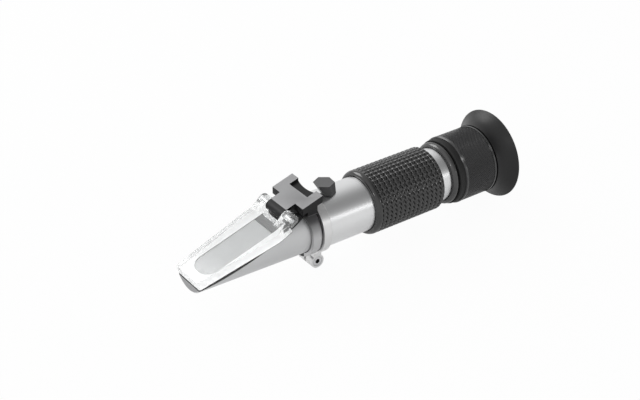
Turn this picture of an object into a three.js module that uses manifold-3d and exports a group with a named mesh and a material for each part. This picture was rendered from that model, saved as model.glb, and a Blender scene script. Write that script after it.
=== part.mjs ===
import * as THREE from 'three';
import { mergeVertices } from 'three/addons/utils/BufferGeometryUtils.js';
import Module from 'manifold-3d';

// A hand-held coolant refractometer, in millimetres.
// A station is a distance along the optical axis from the eyecup's rim towards the prism end.
// Local x is minus the station, y runs across, and z is the height above the optical axis.

const wasm = await Module();
wasm.setup();

// Fits
const fit = 0.3;
const overrun = 1;

// Eyecup
const eyecupRimRadius = 20;
const eyecupRimWall = 1;
const eyecupWall = 2;
const eyecupLength = 7.9;
const eyecupDepth = 5.2;
const eyecupLedge = 0.2;
const eyecupFlareShare = 2;

// Focus ring
const neckStep = 1.7;
const neckLength = 2.7;
const ringWall = 2.85;
const ringLength = 17.2;
const ringChamfer = 0.4;
const landLength = 1.2;
const knurlDepth = 0.45;
const noseStep = 0.6;
const noseLength = 2.8;
const shoulderThickness = 1.7;

// Wiper ring
const wiperWall = 1.65;
const wiperLength = 2.9;
const wiperLip = 0.3;

// Body tube
const tubeRadius = 11.95;
const tubeWall = 1.35;
const focusTravel = 1.5;
const tubeEndRoom = 3;
const bareBandLength = 5.1;
const bareTubeLength = 22.5;

// Rubber grip
const gripLength = 36;
const gripWall = 1.9;
const gripGrooveDepth = 0.8;
const gripGrooveWidth = 0.7;
const gripBeadLength = 2.7;
const gripBeadFlat = 0.6;
const gripEdge = 0.4;

// Clamp collar and its lug
const collarLength = 4.2;
const collarWall = 0.85;
const collarChamfer = 0.5;
const splitWidth = 1.4;
const lugRadius = 3.1;
const lugWidth = 9.6;
const lugStandoff = 3.85;
const lugFootDrop = 3.05;
const lugNeckLength = 3.8;

// Clamp screw
const clampHeadRadius = 2.1;
const clampHeadLength = 1.6;
const clampShankRadius = 1;
const socketRadius = 1;
const socketDepth = 0.9;

// Prism housing
const housingStep = 1.15;
const housingTaper = 0.75;
const housingStraightLength = 10;
const housingLength = 56.7;
const housingChamfer = 0.5;
const spigotLength = 5;
const housingWall = 2.8;
const throatLedge = 3.8;
const throatWall = 1.5;
const throatReach = 9.5;
const seatBehindPin = 4.15;
const seatRearDrop = 3;
const crescentHeight = 3.75;

// Measuring prism
const prismFrontWall = 5;
const prismRearRoom = 6.6;
const prismWidth = 13.4;
const prismNoseRadius = 5.6;
const prismWallThickness = 1.7;

// Light stop
const stopWidth = 3.2;
const stopThickness = 1.5;

// Hinge bracket
const bandLength = 4.8;
const bandWall = 1.4;
const bandFlare = 2.1;
const bandFlareFoot = 4.2;
const blockLength = 14.2;
const blockArmLength = 9.8;
const blockHalfWidth = 10.7;
const blockRearOverhang = 0.9;
const notchLength = 4.5;
const notchHalfWidth = 6.3;
const notchDepth = 1.2;
const scoopRadius = 20;
const noseHalfWidth = 5.4;
const blockArmThickness = 3.1;
const blockRise = 3.6;
const cheekFoot = 1.4;
const cheekHalfWidth = 8.4;

// Hinge
const knuckleRadius = 2.3;
const pinRise = 0.9;
const pinLead = 0.4;
const pinRadius = 0.9;

// Bracket set screw
const setScrewRadius = 0.9;

// Daylight plate
const plateGap = 0.3;
const plateThickness = 4;
const plateFrontSetback = 0.3;
const plateFrontHalfWidth = 8;
const plateWidestHalfWidth = 11.4;
const plateTaperLength = 7.1;
const plateCornerRadius = 1;
const plateRearRoom = 0.14;
const earRadius = 2.7;
const earThickness = 4.8;
const earWebLength = 9.4;

// Calibration screw and its cap, whose top overhangs towards the prism
const screwSetback = 6.1;
const screwAcross = 1.2;
const screwHeadRadius = 1.5;
const screwHeadHeight = 1;
const screwSlotWidth = 0.6;
const screwSlotDepth = 0.5;
const screwShankRadius = 1.1;
const screwTipRadius = 0.8;
const screwTipOffset = 0.3;
const screwTipLength = 1.6;
const capHeight = 5.8;
const capBaseRadius = 2.9;
const capTopRadius = 4.5;
const capOverhang = 2.3;
const capSkirt = 1.2;
const capTwist = THREE.MathUtils.degToRad(54);

// Objective
const carriageLength = 11.4;
const carriageWall = 1.7;
const carriageShoulder = 1;
const carriageTravel = 0.25;
const objectiveEdge = 1.6;
const objectiveBulge = 1;
const retainerThickness = 1.6;
const retainerLip = 1.5;

// Bimetal strip and its screw
const stripLength = 25;
const stripWidth = 4;
const stripThickness = 0.4;
const stripEndInset = 1.8;
const stripScrewHeadRadius = 1.5;
const stripScrewHeadHeight = 0.8;
const stripScrewShankRadius = 0.8;
const stripOverlap = 3.4;

// Reticle and its rings
const reticleThickness = 1.3;
const fieldStopLength = 2.7;
const reticleRingLength = 3;
const reticleRingWall = 2.3;
const fieldStopSetback = 18;

// Eyepiece optics
const barrelWall = 1.3;
const barrelLip = 1.2;
const barrelLipLength = 1.8;
const flangeThickness = 1.6;
const neckWall = 1.1;
const eyepieceRetainerThickness = 1.4;
const eyepieceRetainerLip = 1;
const eyeLensEdge = 1.6;
const lensBulge = 1.2;
const spacerLength = 10.6;
const guidePinRadius = 0.8;
const guidePinSetback = 4;
const guidePinReach = 0.9;

// How finely round shapes are divided, and counts of what repeats
const roundSegments = 36;
const innerSegments = 28;
const smallSegments = 16;
const curveSteps = 5;
const lensSteps = 3;
const knurlTeeth = 64;
const capSides = 6;
const gripRidges = 14;
const halfTurn = Math.PI;
const quarterTurn = halfTurn / 2;

// Stations, from the eyecup's rim to the front of the housing
const ringStart = eyecupLength + fit;
const neckStart = ringStart - neckLength;
const ringEnd = ringStart + ringLength;
const noseEnd = ringEnd + noseLength;
const wiperStart = noseEnd + fit;
const wiperEnd = wiperStart + wiperLength;
const gripStart = wiperEnd + bareBandLength;
const gripEnd = gripStart + gripLength;
const collarStart = gripEnd + bareTubeLength;
const collarEnd = collarStart + collarLength;
const bandStart = collarEnd + fit;
const bandEnd = bandStart + bandLength;
const housingStart = collarEnd + fit / 2;
const housingFront = housingStart + housingLength;
const spigotStart = housingStart - spigotLength;

const retainerStart = neckStart + fit;
const flangeStart = retainerStart + eyepieceRetainerThickness + fit;
const flangeEnd = flangeStart + flangeThickness;
const shoulderStart = flangeEnd + fit;
const shoulderEnd = shoulderStart + shoulderThickness;
const tubeStart = shoulderEnd + tubeEndRoom;
const eyeLensStart = flangeStart;
const spacerStart = eyeLensStart + eyeLensEdge + fit;
const fieldLensStart = spacerStart + spacerLength + fit;
const barrelLipStart = fieldLensStart + eyeLensEdge + fit;
const barrelEnd = barrelLipStart + barrelLipLength;
const fieldStopStart = tubeStart + fieldStopSetback;
const reticleStart = fieldStopStart + fieldStopLength + fit;
const reticleRingStart = reticleStart + reticleThickness + fit;

const carriageEnd = spigotStart - fit - carriageTravel;
const carriageStart = carriageEnd - carriageLength;
const objectiveStart = carriageStart + retainerThickness + fit;
const objectiveEnd = objectiveStart + objectiveEdge;
const screwStation = collarStart - screwSetback;
const stripEnd = carriageStart + stripOverlap;
const stripStart = stripEnd - stripLength;
const stripScrewStation = stripStart + stripEndInset;

const blockStart = bandStart - blockRearOverhang;
const blockEnd = blockStart + blockLength;
const armEnd = blockStart + blockArmLength;
const pinStation = blockEnd + pinLead;
const prismSeatStart = pinStation - seatBehindPin;
const lugStation = collarStart + lugNeckLength / 2;
const throatStart = prismSeatStart - throatWall;
const throatEnd = prismSeatStart + throatReach;
const stopStation = throatStart - fit - stopThickness;

// Radii, each from the piece that it fits
const ringBore = tubeRadius + fit;
const tubeBore = tubeRadius - tubeWall;
const gripRadius = ringBore + gripWall;
const ringRadius = ringBore + ringWall;
const noseRadius = ringRadius - noseStep;
const neckRadius = ringRadius - neckStep;
const eyecupBaseRadius = ringRadius + eyecupLedge;
const wiperRadius = ringBore + wiperWall;
const wiperLipRadius = ringBore + wiperLip;
const collarRadius = ringBore + collarWall;
const housingRadius = tubeRadius - housingStep;
const housingFrontRadius = housingRadius - housingTaper;
const housingBore = housingRadius - housingWall;
const housingThroat = housingBore - throatLedge;
const bandRadius = housingRadius + fit + bandWall;
const inTubeRadius = tubeBore - fit;
const barrelBore = inTubeRadius - barrelWall;
const barrelLipBore = barrelBore - barrelLip;
const flangeRadius = neckRadius - neckWall - fit;
const carriageLensBore = inTubeRadius - carriageWall;
const carriageShoulderBore = carriageLensBore - carriageShoulder;
const reticleRingOpening = inTubeRadius - reticleRingWall;

// Heights above the optical axis, and the slope of the seat
const pinHeight = housingRadius + pinRise;
const blockTopHeight = housingRadius + blockRise;
const cheekBottom = housingRadius - cheekFoot;
const prismSeatDrop = housingFrontRadius - crescentHeight;
const seatRearHeight = housingRadius - seatRearDrop;
const seatSlope = (seatRearHeight + prismSeatDrop) / (housingFront - prismSeatStart);
const prismAngle = Math.atan(seatSlope);
const lugDrop = collarRadius + lugStandoff;
const lugFlat = lugDrop + lugFootDrop;
const standHeight = Math.max(eyecupRimRadius, lugFlat);

// Setbacks along the slope, from the front of the housing
const plateRearSetback = (housingFront - pinStation) / Math.cos(prismAngle) - plateRearRoom;
const plateWidestSetback = plateRearSetback - plateTaperLength;
const earWebSetback = plateRearSetback - earWebLength;
const prismLength = plateRearSetback - prismRearRoom - prismFrontWall;

// A closed surface as a solid that can be joined and cut, its faces turned outwards.
function solid(geometry) {
  const bare = new THREE.BufferGeometry();
  bare.setAttribute('position', geometry.getAttribute('position'));
  bare.setIndex(geometry.getIndex());
  const merged = mergeVertices(bare);
  const points = merged.getAttribute('position').array;
  const corners = merged.getIndex().array;
  const kept = [];
  let volume = 0;
  const a = new THREE.Vector3();
  const b = new THREE.Vector3();
  const c = new THREE.Vector3();
  for (let i = 0; i < corners.length; i += 3) {
    const [p, q, r] = corners.slice(i, i + 3);
    if (p === q || q === r || r === p) {
      continue;
    }
    kept.push(p, q, r);
    a.fromArray(points, p * 3);
    b.fromArray(points, q * 3);
    c.fromArray(points, r * 3);
    volume += a.dot(b.cross(c));
  }
  if (volume < 0) {
    kept.reverse();
  }
  const mesh = new wasm.Mesh({
    numProp: 3,
    vertProperties: new Float32Array(points),
    triVerts: new Uint32Array(kept),
  });
  return new wasm.Manifold(mesh);
}

// The named mesh of one finished solid.
function piece(name, body, material) {
  const mesh = body.getMesh();
  const geometry = new THREE.BufferGeometry();
  geometry.setAttribute('position', new THREE.BufferAttribute(mesh.vertProperties, mesh.numProp));
  geometry.setIndex(new THREE.BufferAttribute(mesh.triVerts, 1));
  geometry.computeVertexNormals();
  const result = new THREE.Mesh(geometry, material);
  result.name = name;
  return result;
}

// A body turned round the optical axis, from points of station and radius.
function turned(profile, segments = roundSegments) {
  const points = profile.map(([station, radius]) => new THREE.Vector2(radius, -station));
  const geometry = new THREE.LatheGeometry(points, segments);
  geometry.rotateZ(-quarterTurn);
  return solid(geometry);
}

// A ring turned round the optical axis: its profile closes on itself.
function turnedRing(profile, segments = roundSegments) {
  return turned([...profile, profile[0]], segments);
}

// A plain ring between two stations.
function sleeve(start, end, outer, inner, segments = innerSegments) {
  return turnedRing([[start, inner], [start, outer], [end, outer], [end, inner]], segments);
}

// A plain rod between two stations, used as a bar or a cutter.
function rod(start, end, radius) {
  return turned([[start, 0], [start, radius], [end, radius], [end, 0]]);
}

// An upright pin at a station, from one height to another, with one radius at each end.
function uprightPin(station, across, bottom, top, bottomRadius, topRadius, segments = smallSegments) {
  const geometry = new THREE.CylinderGeometry(topRadius, bottomRadius, top - bottom, segments);
  geometry.rotateX(quarterTurn);
  geometry.translate(-station, across, (bottom + top) / 2);
  return solid(geometry);
}

// A pin on the calibration screw's upright axis, or set off across from it.
function calibrationPin(bottom, top, radius, offset = 0) {
  return uprightPin(screwStation, offset - screwAcross, bottom, top, radius, radius);
}

// A round bar that runs across the optical axis.
function crossBar(station, height, from, to, radius, segments = smallSegments) {
  const geometry = new THREE.CylinderGeometry(radius, radius, to - from, segments);
  geometry.translate(-station, (from + to) / 2, height);
  return solid(geometry);
}

// A box between two stations, two places across and two heights.
function block(startStation, endStation, from, to, bottom, top) {
  const geometry = new THREE.BoxGeometry(endStation - startStation, to - from, top - bottom);
  geometry.translate(-(startStation + endStation) / 2, (from + to) / 2, (bottom + top) / 2);
  return solid(geometry);
}

// An outline of stations and heights, given a width across.
function sideExtrusion(shape, from, to, curveSegments = curveSteps) {
  const geometry = new THREE.ExtrudeGeometry(shape, { depth: to - from, bevelEnabled: false, curveSegments });
  geometry.rotateX(quarterTurn);
  geometry.translate(0, to, 0);
  return solid(geometry);
}

// A shape through points of station and height.
function sideShape(points) {
  return new THREE.Shape(points.map(([station, height]) => new THREE.Vector2(-station, height)));
}

// An outline lying on the slanted seat, given a thickness square to it.
// Its x is the distance back from the front of the seat, up the slope, and y runs across.
function slopeExtrusion(shape, lift, thickness) {
  const geometry = new THREE.ExtrudeGeometry(shape, {
    depth: thickness,
    bevelEnabled: false,
    curveSegments: curveSteps,
  });
  geometry.translate(0, 0, lift);
  geometry.rotateY(-prismAngle);
  geometry.translate(-housingFront, 0, -prismSeatDrop);
  return solid(geometry);
}

// Height of a plane parallel to the slanted seat, lifted square to it, at a station.
function slopeHeight(station, lift) {
  return (housingFront - station) * seatSlope - prismSeatDrop + lift / Math.cos(prismAngle);
}

// Where a line from a point touches a circle, as an angle round its centre, on one side or the other.
function tangentAngle(centre, radius, from, side) {
  const reach = from.clone().sub(centre);
  return reach.angle() + side * Math.acos(radius / reach.length());
}

// Material helper: colour, roughness and metalness.
function finish(color, roughness, metalness) {
  return new THREE.MeshStandardMaterial({ color, roughness, metalness });
}

const materials = {
  satinAluminium: finish(0xc9cbcc, 0.35, 0.9),
  housingAluminium: finish(0xbfc0c2, 0.5, 0.8),
  steel: finish(0xb4b6b8, 0.3, 1),
  brass: finish(0xb89b5e, 0.35, 1),
  gripRubber: finish(0x1c1c1d, 0.75, 0),
  eyecupRubber: finish(0x262728, 0.65, 0),
  blackAnodised: finish(0x2a2b2c, 0.45, 0.4),
  bracketBlack: finish(0x3a3b3c, 0.45, 0.5),
  blackCell: finish(0x141414, 0.8, 0.1),
  clearPlastic: finish(0xeef1f2, 0.15, 0),
  prismGlass: finish(0xb9bcbf, 0.1, 0),
  lensGlass: finish(0xdfe8ea, 0.05, 0),
};

// The trumpet of the eyecup: its radius at a share of its length.
function trumpetRadius(share) {
  return eyecupBaseRadius + (eyecupRimRadius - eyecupBaseRadius) * (1 - share) ** eyecupFlareShare;
}

function eyecup() {
  const outer = [];
  const inner = [];
  for (let i = 0; i <= curveSteps; i += 1) {
    const share = i / curveSteps;
    outer.push([share * eyecupLength, trumpetRadius(share)]);
    const depthShare = share * eyecupDepth / eyecupLength;
    const wall = eyecupRimWall + (eyecupWall - eyecupRimWall) * share;
    inner.push([share * eyecupDepth, trumpetRadius(depthShare) - wall]);
  }
  const bore = neckRadius + fit;
  const profile = [...outer, [eyecupLength, bore], [eyecupDepth, bore], ...inner.reverse()];
  return piece('eyecup', turnedRing(profile), materials.eyecupRubber);
}

// A toothed band, as a shape with a round hole that stays inside the ring's wall.
function knurlBand() {
  const root = ringRadius - knurlDepth;
  const outline = [];
  for (let i = 0; i < knurlTeeth * 2; i += 1) {
    const radius = i % 2 ? root : ringRadius;
    const angle = i * halfTurn / knurlTeeth;
    outline.push(new THREE.Vector2(radius * Math.cos(angle), radius * Math.sin(angle)));
  }
  const shape = new THREE.Shape(outline);
  const hole = new THREE.Path();
  hole.absarc(0, 0, (root + ringBore) / 2, 0, halfTurn * 2);
  shape.holes.push(hole);
  const length = ringLength - landLength * 2;
  const geometry = new THREE.ExtrudeGeometry(shape, {
    depth: length,
    bevelEnabled: false,
    curveSegments: roundSegments / 2,
  });
  geometry.rotateY(-quarterTurn);
  geometry.translate(-ringStart - landLength, 0, 0);
  return solid(geometry);
}

function focusRing() {
  const root = ringRadius - knurlDepth;
  const knurlStart = ringStart + landLength;
  const knurlEnd = ringEnd - landLength;
  const retainerBore = flangeRadius + fit;
  const ring = turnedRing([
    [neckStart, retainerBore],
    [neckStart, neckRadius],
    [ringStart, neckRadius],
    [ringStart, ringRadius - ringChamfer],
    [ringStart + ringChamfer, ringRadius],
    [knurlStart, ringRadius],
    [knurlStart, root],
    [knurlEnd, root],
    [knurlEnd, ringRadius],
    [ringEnd - ringChamfer, ringRadius],
    [ringEnd, ringRadius - ringChamfer],
    [ringEnd, noseRadius],
    [noseEnd - ringChamfer, noseRadius],
    [noseEnd, noseRadius - ringChamfer],
    [noseEnd, ringBore],
    [shoulderEnd, ringBore],
    [shoulderEnd, tubeBore],
    [shoulderStart, tubeBore],
    [shoulderStart, retainerBore],
  ]);
  return piece('focus_ring', ring.add(knurlBand()), materials.blackAnodised);
}

function wiperRing() {
  const bead = [];
  for (let i = 0; i <= curveSteps; i += 1) {
    const angle = quarterTurn * i / curveSteps;
    const rise = (wiperRadius - wiperLipRadius) * Math.cos(angle);
    bead.push([wiperStart + wiperLength * Math.sin(angle), wiperLipRadius + rise]);
  }
  const profile = [[wiperStart, ringBore], ...bead, [wiperEnd, ringBore]];
  return piece('wiper_ring', turnedRing(profile), materials.eyecupRubber);
}

function eyepieceRetainer() {
  const end = retainerStart + eyepieceRetainerThickness;
  const ring = sleeve(retainerStart, end, flangeRadius, barrelBore - eyepieceRetainerLip);
  return piece('eyepiece_retainer', ring, materials.blackCell);
}

function lensBarrel() {
  const barrel = turnedRing([
    [flangeStart, barrelBore],
    [flangeStart, flangeRadius],
    [flangeEnd, flangeRadius],
    [flangeEnd, inTubeRadius],
    [barrelEnd, inTubeRadius],
    [barrelEnd, barrelLipBore],
    [barrelLipStart, barrelLipBore],
    [barrelLipStart, barrelBore],
  ], innerSegments);
  const slotHalf = focusTravel + guidePinRadius + fit;
  const slotSide = guidePinRadius + fit;
  const pinStationInTube = tubeStart + guidePinSetback;
  const slot = block(
    pinStationInTube - slotHalf,
    pinStationInTube + slotHalf,
    -slotSide,
    slotSide,
    barrelBore - guidePinReach,
    inTubeRadius + overrun,
  );
  return piece('lens_barrel', barrel.subtract(slot), materials.blackCell);
}

// A lens with a flat rim and a round bulge on both faces.
function lens(start, edge, bulge, radius) {
  const profile = [];
  for (let i = 0; i <= lensSteps; i += 1) {
    const share = i / lensSteps;
    profile.push([start - bulge * (1 - share ** 2), radius * share]);
  }
  for (let i = lensSteps; i >= 0; i -= 1) {
    const share = i / lensSteps;
    profile.push([start + edge + bulge * (1 - share ** 2), radius * share]);
  }
  return turned(profile, innerSegments);
}

function eyepieceOptics() {
  const radius = barrelBore - fit;
  const spacer = sleeve(spacerStart, spacerStart + spacerLength, radius, barrelLipBore);
  return [
    piece('eye_lens', lens(eyeLensStart, eyeLensEdge, lensBulge, radius), materials.lensGlass),
    piece('lens_spacer', spacer, materials.blackCell),
    piece('field_lens', lens(fieldLensStart, eyeLensEdge, lensBulge, radius), materials.lensGlass),
  ];
}

function guidePin() {
  const station = tubeStart + guidePinSetback;
  const pin = uprightPin(station, 0, tubeBore - guidePinReach, tubeRadius, guidePinRadius, guidePinRadius);
  return piece('guide_pin', pin, materials.steel);
}

function mainTube() {
  const overTube = tubeRadius + overrun;
  const inTube = tubeBore - overrun;
  const guideStation = tubeStart + guidePinSetback;
  const guideHole = guidePinRadius + fit;
  const screwHole = screwShankRadius + fit;
  const stripHole = stripScrewShankRadius + fit;
  const tube = sleeve(tubeStart, collarEnd, tubeRadius, tubeBore, roundSegments)
    .subtract(uprightPin(guideStation, 0, inTube, overTube, guideHole, guideHole))
    .subtract(calibrationPin(inTube, overTube, screwHole))
    .subtract(uprightPin(stripScrewStation, 0, -overTube, -inTube, stripHole, stripHole));
  return piece('main_tube', tube, materials.satinAluminium);
}

function rubberGrip() {
  const beadStart = gripEnd - gripBeadLength;
  const pitch = (beadStart - gripStart) / gripRidges;
  const groove = gripRadius - gripGrooveDepth;
  const profile = [[gripStart, ringBore], [gripStart, gripRadius - gripEdge]];
  for (let i = 0; i < gripRidges; i += 1) {
    const ridgeStart = gripStart + pitch * i;
    const ridgeEnd = ridgeStart + pitch - gripGrooveWidth;
    profile.push([i ? ridgeStart : gripStart + gripEdge / 2, gripRadius]);
    profile.push([ridgeEnd, gripRadius], [ridgeEnd + gripGrooveWidth / 2, groove]);
  }
  profile.push([beadStart, gripRadius]);
  const roundStart = beadStart + gripBeadFlat;
  for (let i = 0; i <= curveSteps; i += 1) {
    const angle = quarterTurn * i / curveSteps;
    const drop = (gripRadius - ringBore - gripEdge) * (1 - Math.cos(angle));
    profile.push([roundStart + (gripEnd - roundStart) * Math.sin(angle), gripRadius - drop]);
  }
  profile.push([gripEnd, ringBore]);
  return piece('rubber_grip', turnedRing(profile), materials.gripRubber);
}

function reticleStack() {
  const fieldStopEnd = fieldStopStart + fieldStopLength;
  const fieldStop = sleeve(fieldStopStart, fieldStopEnd, inTubeRadius, reticleRingOpening);
  const reticle = rod(reticleStart, reticleStart + reticleThickness, inTubeRadius);
  const ringEndStation = reticleRingStart + reticleRingLength;
  const ring = sleeve(reticleRingStart, ringEndStation, inTubeRadius, reticleRingOpening);
  return [
    piece('field_stop', fieldStop, materials.blackCell),
    piece('reticle', reticle, materials.lensGlass),
    piece('reticle_ring', ring, materials.blackCell),
  ];
}

function clampCollar() {
  const halfLug = lugWidth / 2;
  const halfNeck = lugNeckLength / 2;
  const halfSplit = splitWidth / 2;
  const ring = turnedRing([
    [collarStart, ringBore],
    [collarStart, collarRadius - collarChamfer],
    [collarStart + collarChamfer, collarRadius],
    [collarEnd, collarRadius],
    [collarEnd, ringBore],
  ]);
  const neck = block(lugStation - halfNeck, lugStation + halfNeck, -halfLug, halfLug, -lugDrop, 0);
  const barrel = crossBar(lugStation, -lugDrop, -halfLug, halfLug, lugRadius, roundSegments);
  const foot = block(
    lugStation - lugRadius - overrun,
    lugStation + lugRadius + overrun,
    -halfLug - overrun,
    halfLug + overrun,
    -lugFlat - overrun,
    -lugFlat,
  );
  const headBore = clampHeadRadius + fit;
  const headEnd = -halfLug + clampHeadLength + fit;
  const shankBore = clampShankRadius + fit;
  const split = block(
    collarStart - overrun,
    collarEnd + overrun,
    -halfSplit,
    halfSplit,
    -lugFlat - overrun,
    -ringBore + overrun,
  );
  const collar = ring
    .add(neck)
    .subtract(rod(collarStart - lugRadius, collarEnd + lugRadius, ringBore))
    .add(barrel)
    .subtract(foot)
    .subtract(crossBar(lugStation, -lugDrop, -halfLug - overrun, headEnd, headBore))
    .subtract(crossBar(lugStation, -lugDrop, -halfLug, halfLug + overrun, shankBore))
    .subtract(split);
  return piece('clamp_collar', collar, materials.satinAluminium);
}

function clampScrew() {
  const headStart = -lugWidth / 2;
  const headEnd = headStart + clampHeadLength;
  const tip = lugWidth / 2 - fit;
  const socketEnd = headStart + socketDepth;
  const socketSides = 6;
  const screw = crossBar(lugStation, -lugDrop, headStart, headEnd, clampHeadRadius)
    .add(crossBar(lugStation, -lugDrop, headEnd - fit, tip, clampShankRadius))
    .subtract(crossBar(lugStation, -lugDrop, headStart - overrun, socketEnd, socketRadius, socketSides));
  return piece('clamp_screw', screw, materials.steel);
}

// The rounded outline that the prism and its pocket share, grown by a margin.
function prismOutline(margin) {
  const half = prismWidth / 2 + margin;
  const front = -prismFrontWall + margin;
  const back = -prismFrontWall - prismLength - margin;
  const round = prismNoseRadius + margin;
  const shape = new THREE.Shape();
  shape.moveTo(-back, -half);
  shape.lineTo(-back, half);
  shape.lineTo(-front + round, half);
  shape.absarc(-front + round, half - round, round, quarterTurn, halfTurn);
  shape.absarc(-front + round, -half + round, round, halfTurn, halfTurn + quarterTurn);
  return shape;
}

// What the prism fills: its outline, square to the seat, inside a round wall.
function prismBody(margin, lift) {
  const depth = housingRadius * 2;
  const reach = rod(prismSeatStart - depth, housingFront, housingFrontRadius - prismWallThickness + margin);
  return slopeExtrusion(prismOutline(margin), lift - depth, depth).intersect(reach);
}

function measuringPrism() {
  return piece('measuring_prism', prismBody(0, 0), materials.prismGlass);
}

function prismHousing() {
  const blank = turned([
    [throatEnd, 0],
    [throatEnd, housingThroat],
    [throatStart, housingThroat],
    [throatStart, housingBore],
    [spigotStart, housingBore],
    [spigotStart, inTubeRadius],
    [housingStart, inTubeRadius],
    [housingStart, housingRadius],
    [housingStart + housingStraightLength, housingRadius],
    [housingFront - housingChamfer, housingFrontRadius],
    [housingFront, housingFrontRadius - housingChamfer],
    [housingFront, 0],
  ]);
  const top = housingRadius + overrun;
  const front = housingFront + overrun;
  const aboveSeat = sideShape([
    [prismSeatStart, slopeHeight(prismSeatStart, 0)],
    [front, slopeHeight(front, 0)],
    [front, top],
    [prismSeatStart, top],
  ]);
  const housing = blank
    .subtract(sideExtrusion(aboveSeat, -top, top))
    .subtract(prismBody(fit, overrun));
  return piece('prism_housing', housing, materials.housingAluminium);
}

function lightStop() {
  const outer = housingBore - fit;
  const ring = sleeve(stopStation, stopStation + stopThickness, outer, outer - stopWidth);
  return piece('light_stop', ring, materials.blackCell);
}

// The bracket's top seen from above: arms each side of a notch, and a narrower nose.
function bracketPlan() {
  const shape = new THREE.Shape();
  const corners = [
    [blockStart, blockHalfWidth],
    [armEnd, blockHalfWidth],
    [armEnd, noseHalfWidth],
    [blockEnd, noseHalfWidth],
  ];
  shape.moveTo(-blockStart, 0);
  corners.forEach(([station, across]) => shape.lineTo(-station, across));
  corners.reverse().forEach(([station, across]) => shape.lineTo(-station, -across));
  return shape;
}

function blockTop(station) {
  return blockTopHeight + (blockEnd - station) * seatSlope;
}

// The shallow notch between the arms, cut along the slope of the top.
function armNotch() {
  const start = blockStart - overrun;
  const end = blockStart + notchLength;
  const shape = sideShape([
    [start, blockTop(start) + overrun],
    [end, blockTop(end) + overrun],
    [end, blockTop(end) - notchDepth],
    [start, blockTop(start) - notchDepth],
  ]);
  return sideExtrusion(shape, -notchHalfWidth, notchHalfWidth);
}

// The scoop that hollows the notch's rear edge, from one arm to the other.
function notchScoop() {
  const setback = Math.sqrt(scoopRadius ** 2 - notchHalfWidth ** 2);
  const top = blockTop(blockStart) + overrun;
  const bottom = bandRadius + fit;
  return uprightPin(blockStart - setback, 0, bottom, top, scoopRadius, scoopRadius, roundSegments);
}

// The slab that the arms and the nose share, seen from the side: it slopes like the seat.
function slabSide() {
  const start = blockStart - overrun;
  const end = blockEnd + overrun;
  return sideShape([
    [start, blockTop(start)],
    [end, blockTop(end)],
    [end, blockTop(end) - blockArmThickness],
    [start, blockTop(start) - blockArmThickness],
  ]);
}

// The nose from the side: from the notch forward, rounded about the hinge pin.
function noseSide() {
  const start = blockStart + notchLength;
  const underside = housingRadius + fit;
  const centre = new THREE.Vector2(-pinStation, pinHeight);
  const topEdge = new THREE.Vector2(-blockEnd, blockTop(blockEnd));
  const heel = new THREE.Vector2(-prismSeatStart, underside);
  const from = tangentAngle(centre, knuckleRadius, topEdge, 1);
  const to = tangentAngle(centre, knuckleRadius, heel, -1);
  const shape = new THREE.Shape();
  shape.moveTo(heel.x, heel.y);
  shape.lineTo(-start, underside);
  shape.lineTo(-start, blockTop(start));
  shape.lineTo(topEdge.x, topEdge.y);
  shape.absarc(centre.x, centre.y, knuckleRadius, from, to);
  return shape;
}

// One of the two cheeks that carry the slab on the band.
function cheekBody(side) {
  const near = side * notchHalfWidth;
  const far = side * cheekHalfWidth;
  const top = blockTop(bandEnd) - blockArmThickness + fit;
  return block(bandStart, bandEnd, Math.min(near, far), Math.max(near, far), cheekBottom, top);
}

// The band round the housing: its front edge leans forward from the foot of the flare to the cheeks.
function flaredBand(bore) {
  const reach = bandRadius + overrun;
  const flareEnd = bandEnd + bandFlare;
  const side = sideShape([
    [bandStart, -reach],
    [bandStart, reach],
    [flareEnd, reach],
    [flareEnd, cheekBottom],
    [bandEnd, bandFlareFoot],
    [bandEnd, -reach],
  ]);
  return sleeve(bandStart, flareEnd, bandRadius, bore, roundSegments)
    .intersect(sideExtrusion(side, -reach, reach));
}

function hingeBracket() {
  const bore = housingRadius + fit;
  const wide = blockHalfWidth + overrun;
  const plan = new THREE.ExtrudeGeometry(bracketPlan(), {
    depth: blockTop(blockStart),
    bevelEnabled: false,
  });
  const bandMiddle = (bandStart + bandEnd) / 2;
  const pinHole = pinRadius + fit;
  const grubHole = setScrewRadius + fit;
  const bracket = solid(plan)
    .intersect(sideExtrusion(slabSide(), -wide, wide))
    .add(sideExtrusion(noseSide(), -noseHalfWidth, noseHalfWidth))
    .add(cheekBody(1))
    .add(cheekBody(-1))
    .add(flaredBand(bore))
    .subtract(rod(blockStart - overrun, prismSeatStart, bore))
    .subtract(armNotch())
    .subtract(notchScoop())
    .subtract(crossBar(pinStation, pinHeight, -wide, wide, pinHole))
    .subtract(uprightPin(bandMiddle, 0, -bandRadius - overrun, -bore + overrun, grubHole, grubHole));
  return piece('hinge_bracket', bracket, materials.bracketBlack);
}

function bracketSetScrew() {
  const station = (bandStart + bandEnd) / 2;
  const screw = uprightPin(station, 0, -bandRadius, -housingRadius - fit, setScrewRadius, setScrewRadius);
  const sides = 6;
  const socket = setScrewRadius / 2;
  const bore = uprightPin(station, 0, -bandRadius - overrun, -bandRadius + socket, socket, socket, sides);
  return piece('bracket_set_screw', screw.subtract(bore), materials.steel);
}

function hingePin() {
  const half = noseHalfWidth + fit + earThickness;
  return piece('hinge_pin', crossBar(pinStation, pinHeight, -half, half, pinRadius), materials.steel);
}

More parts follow.
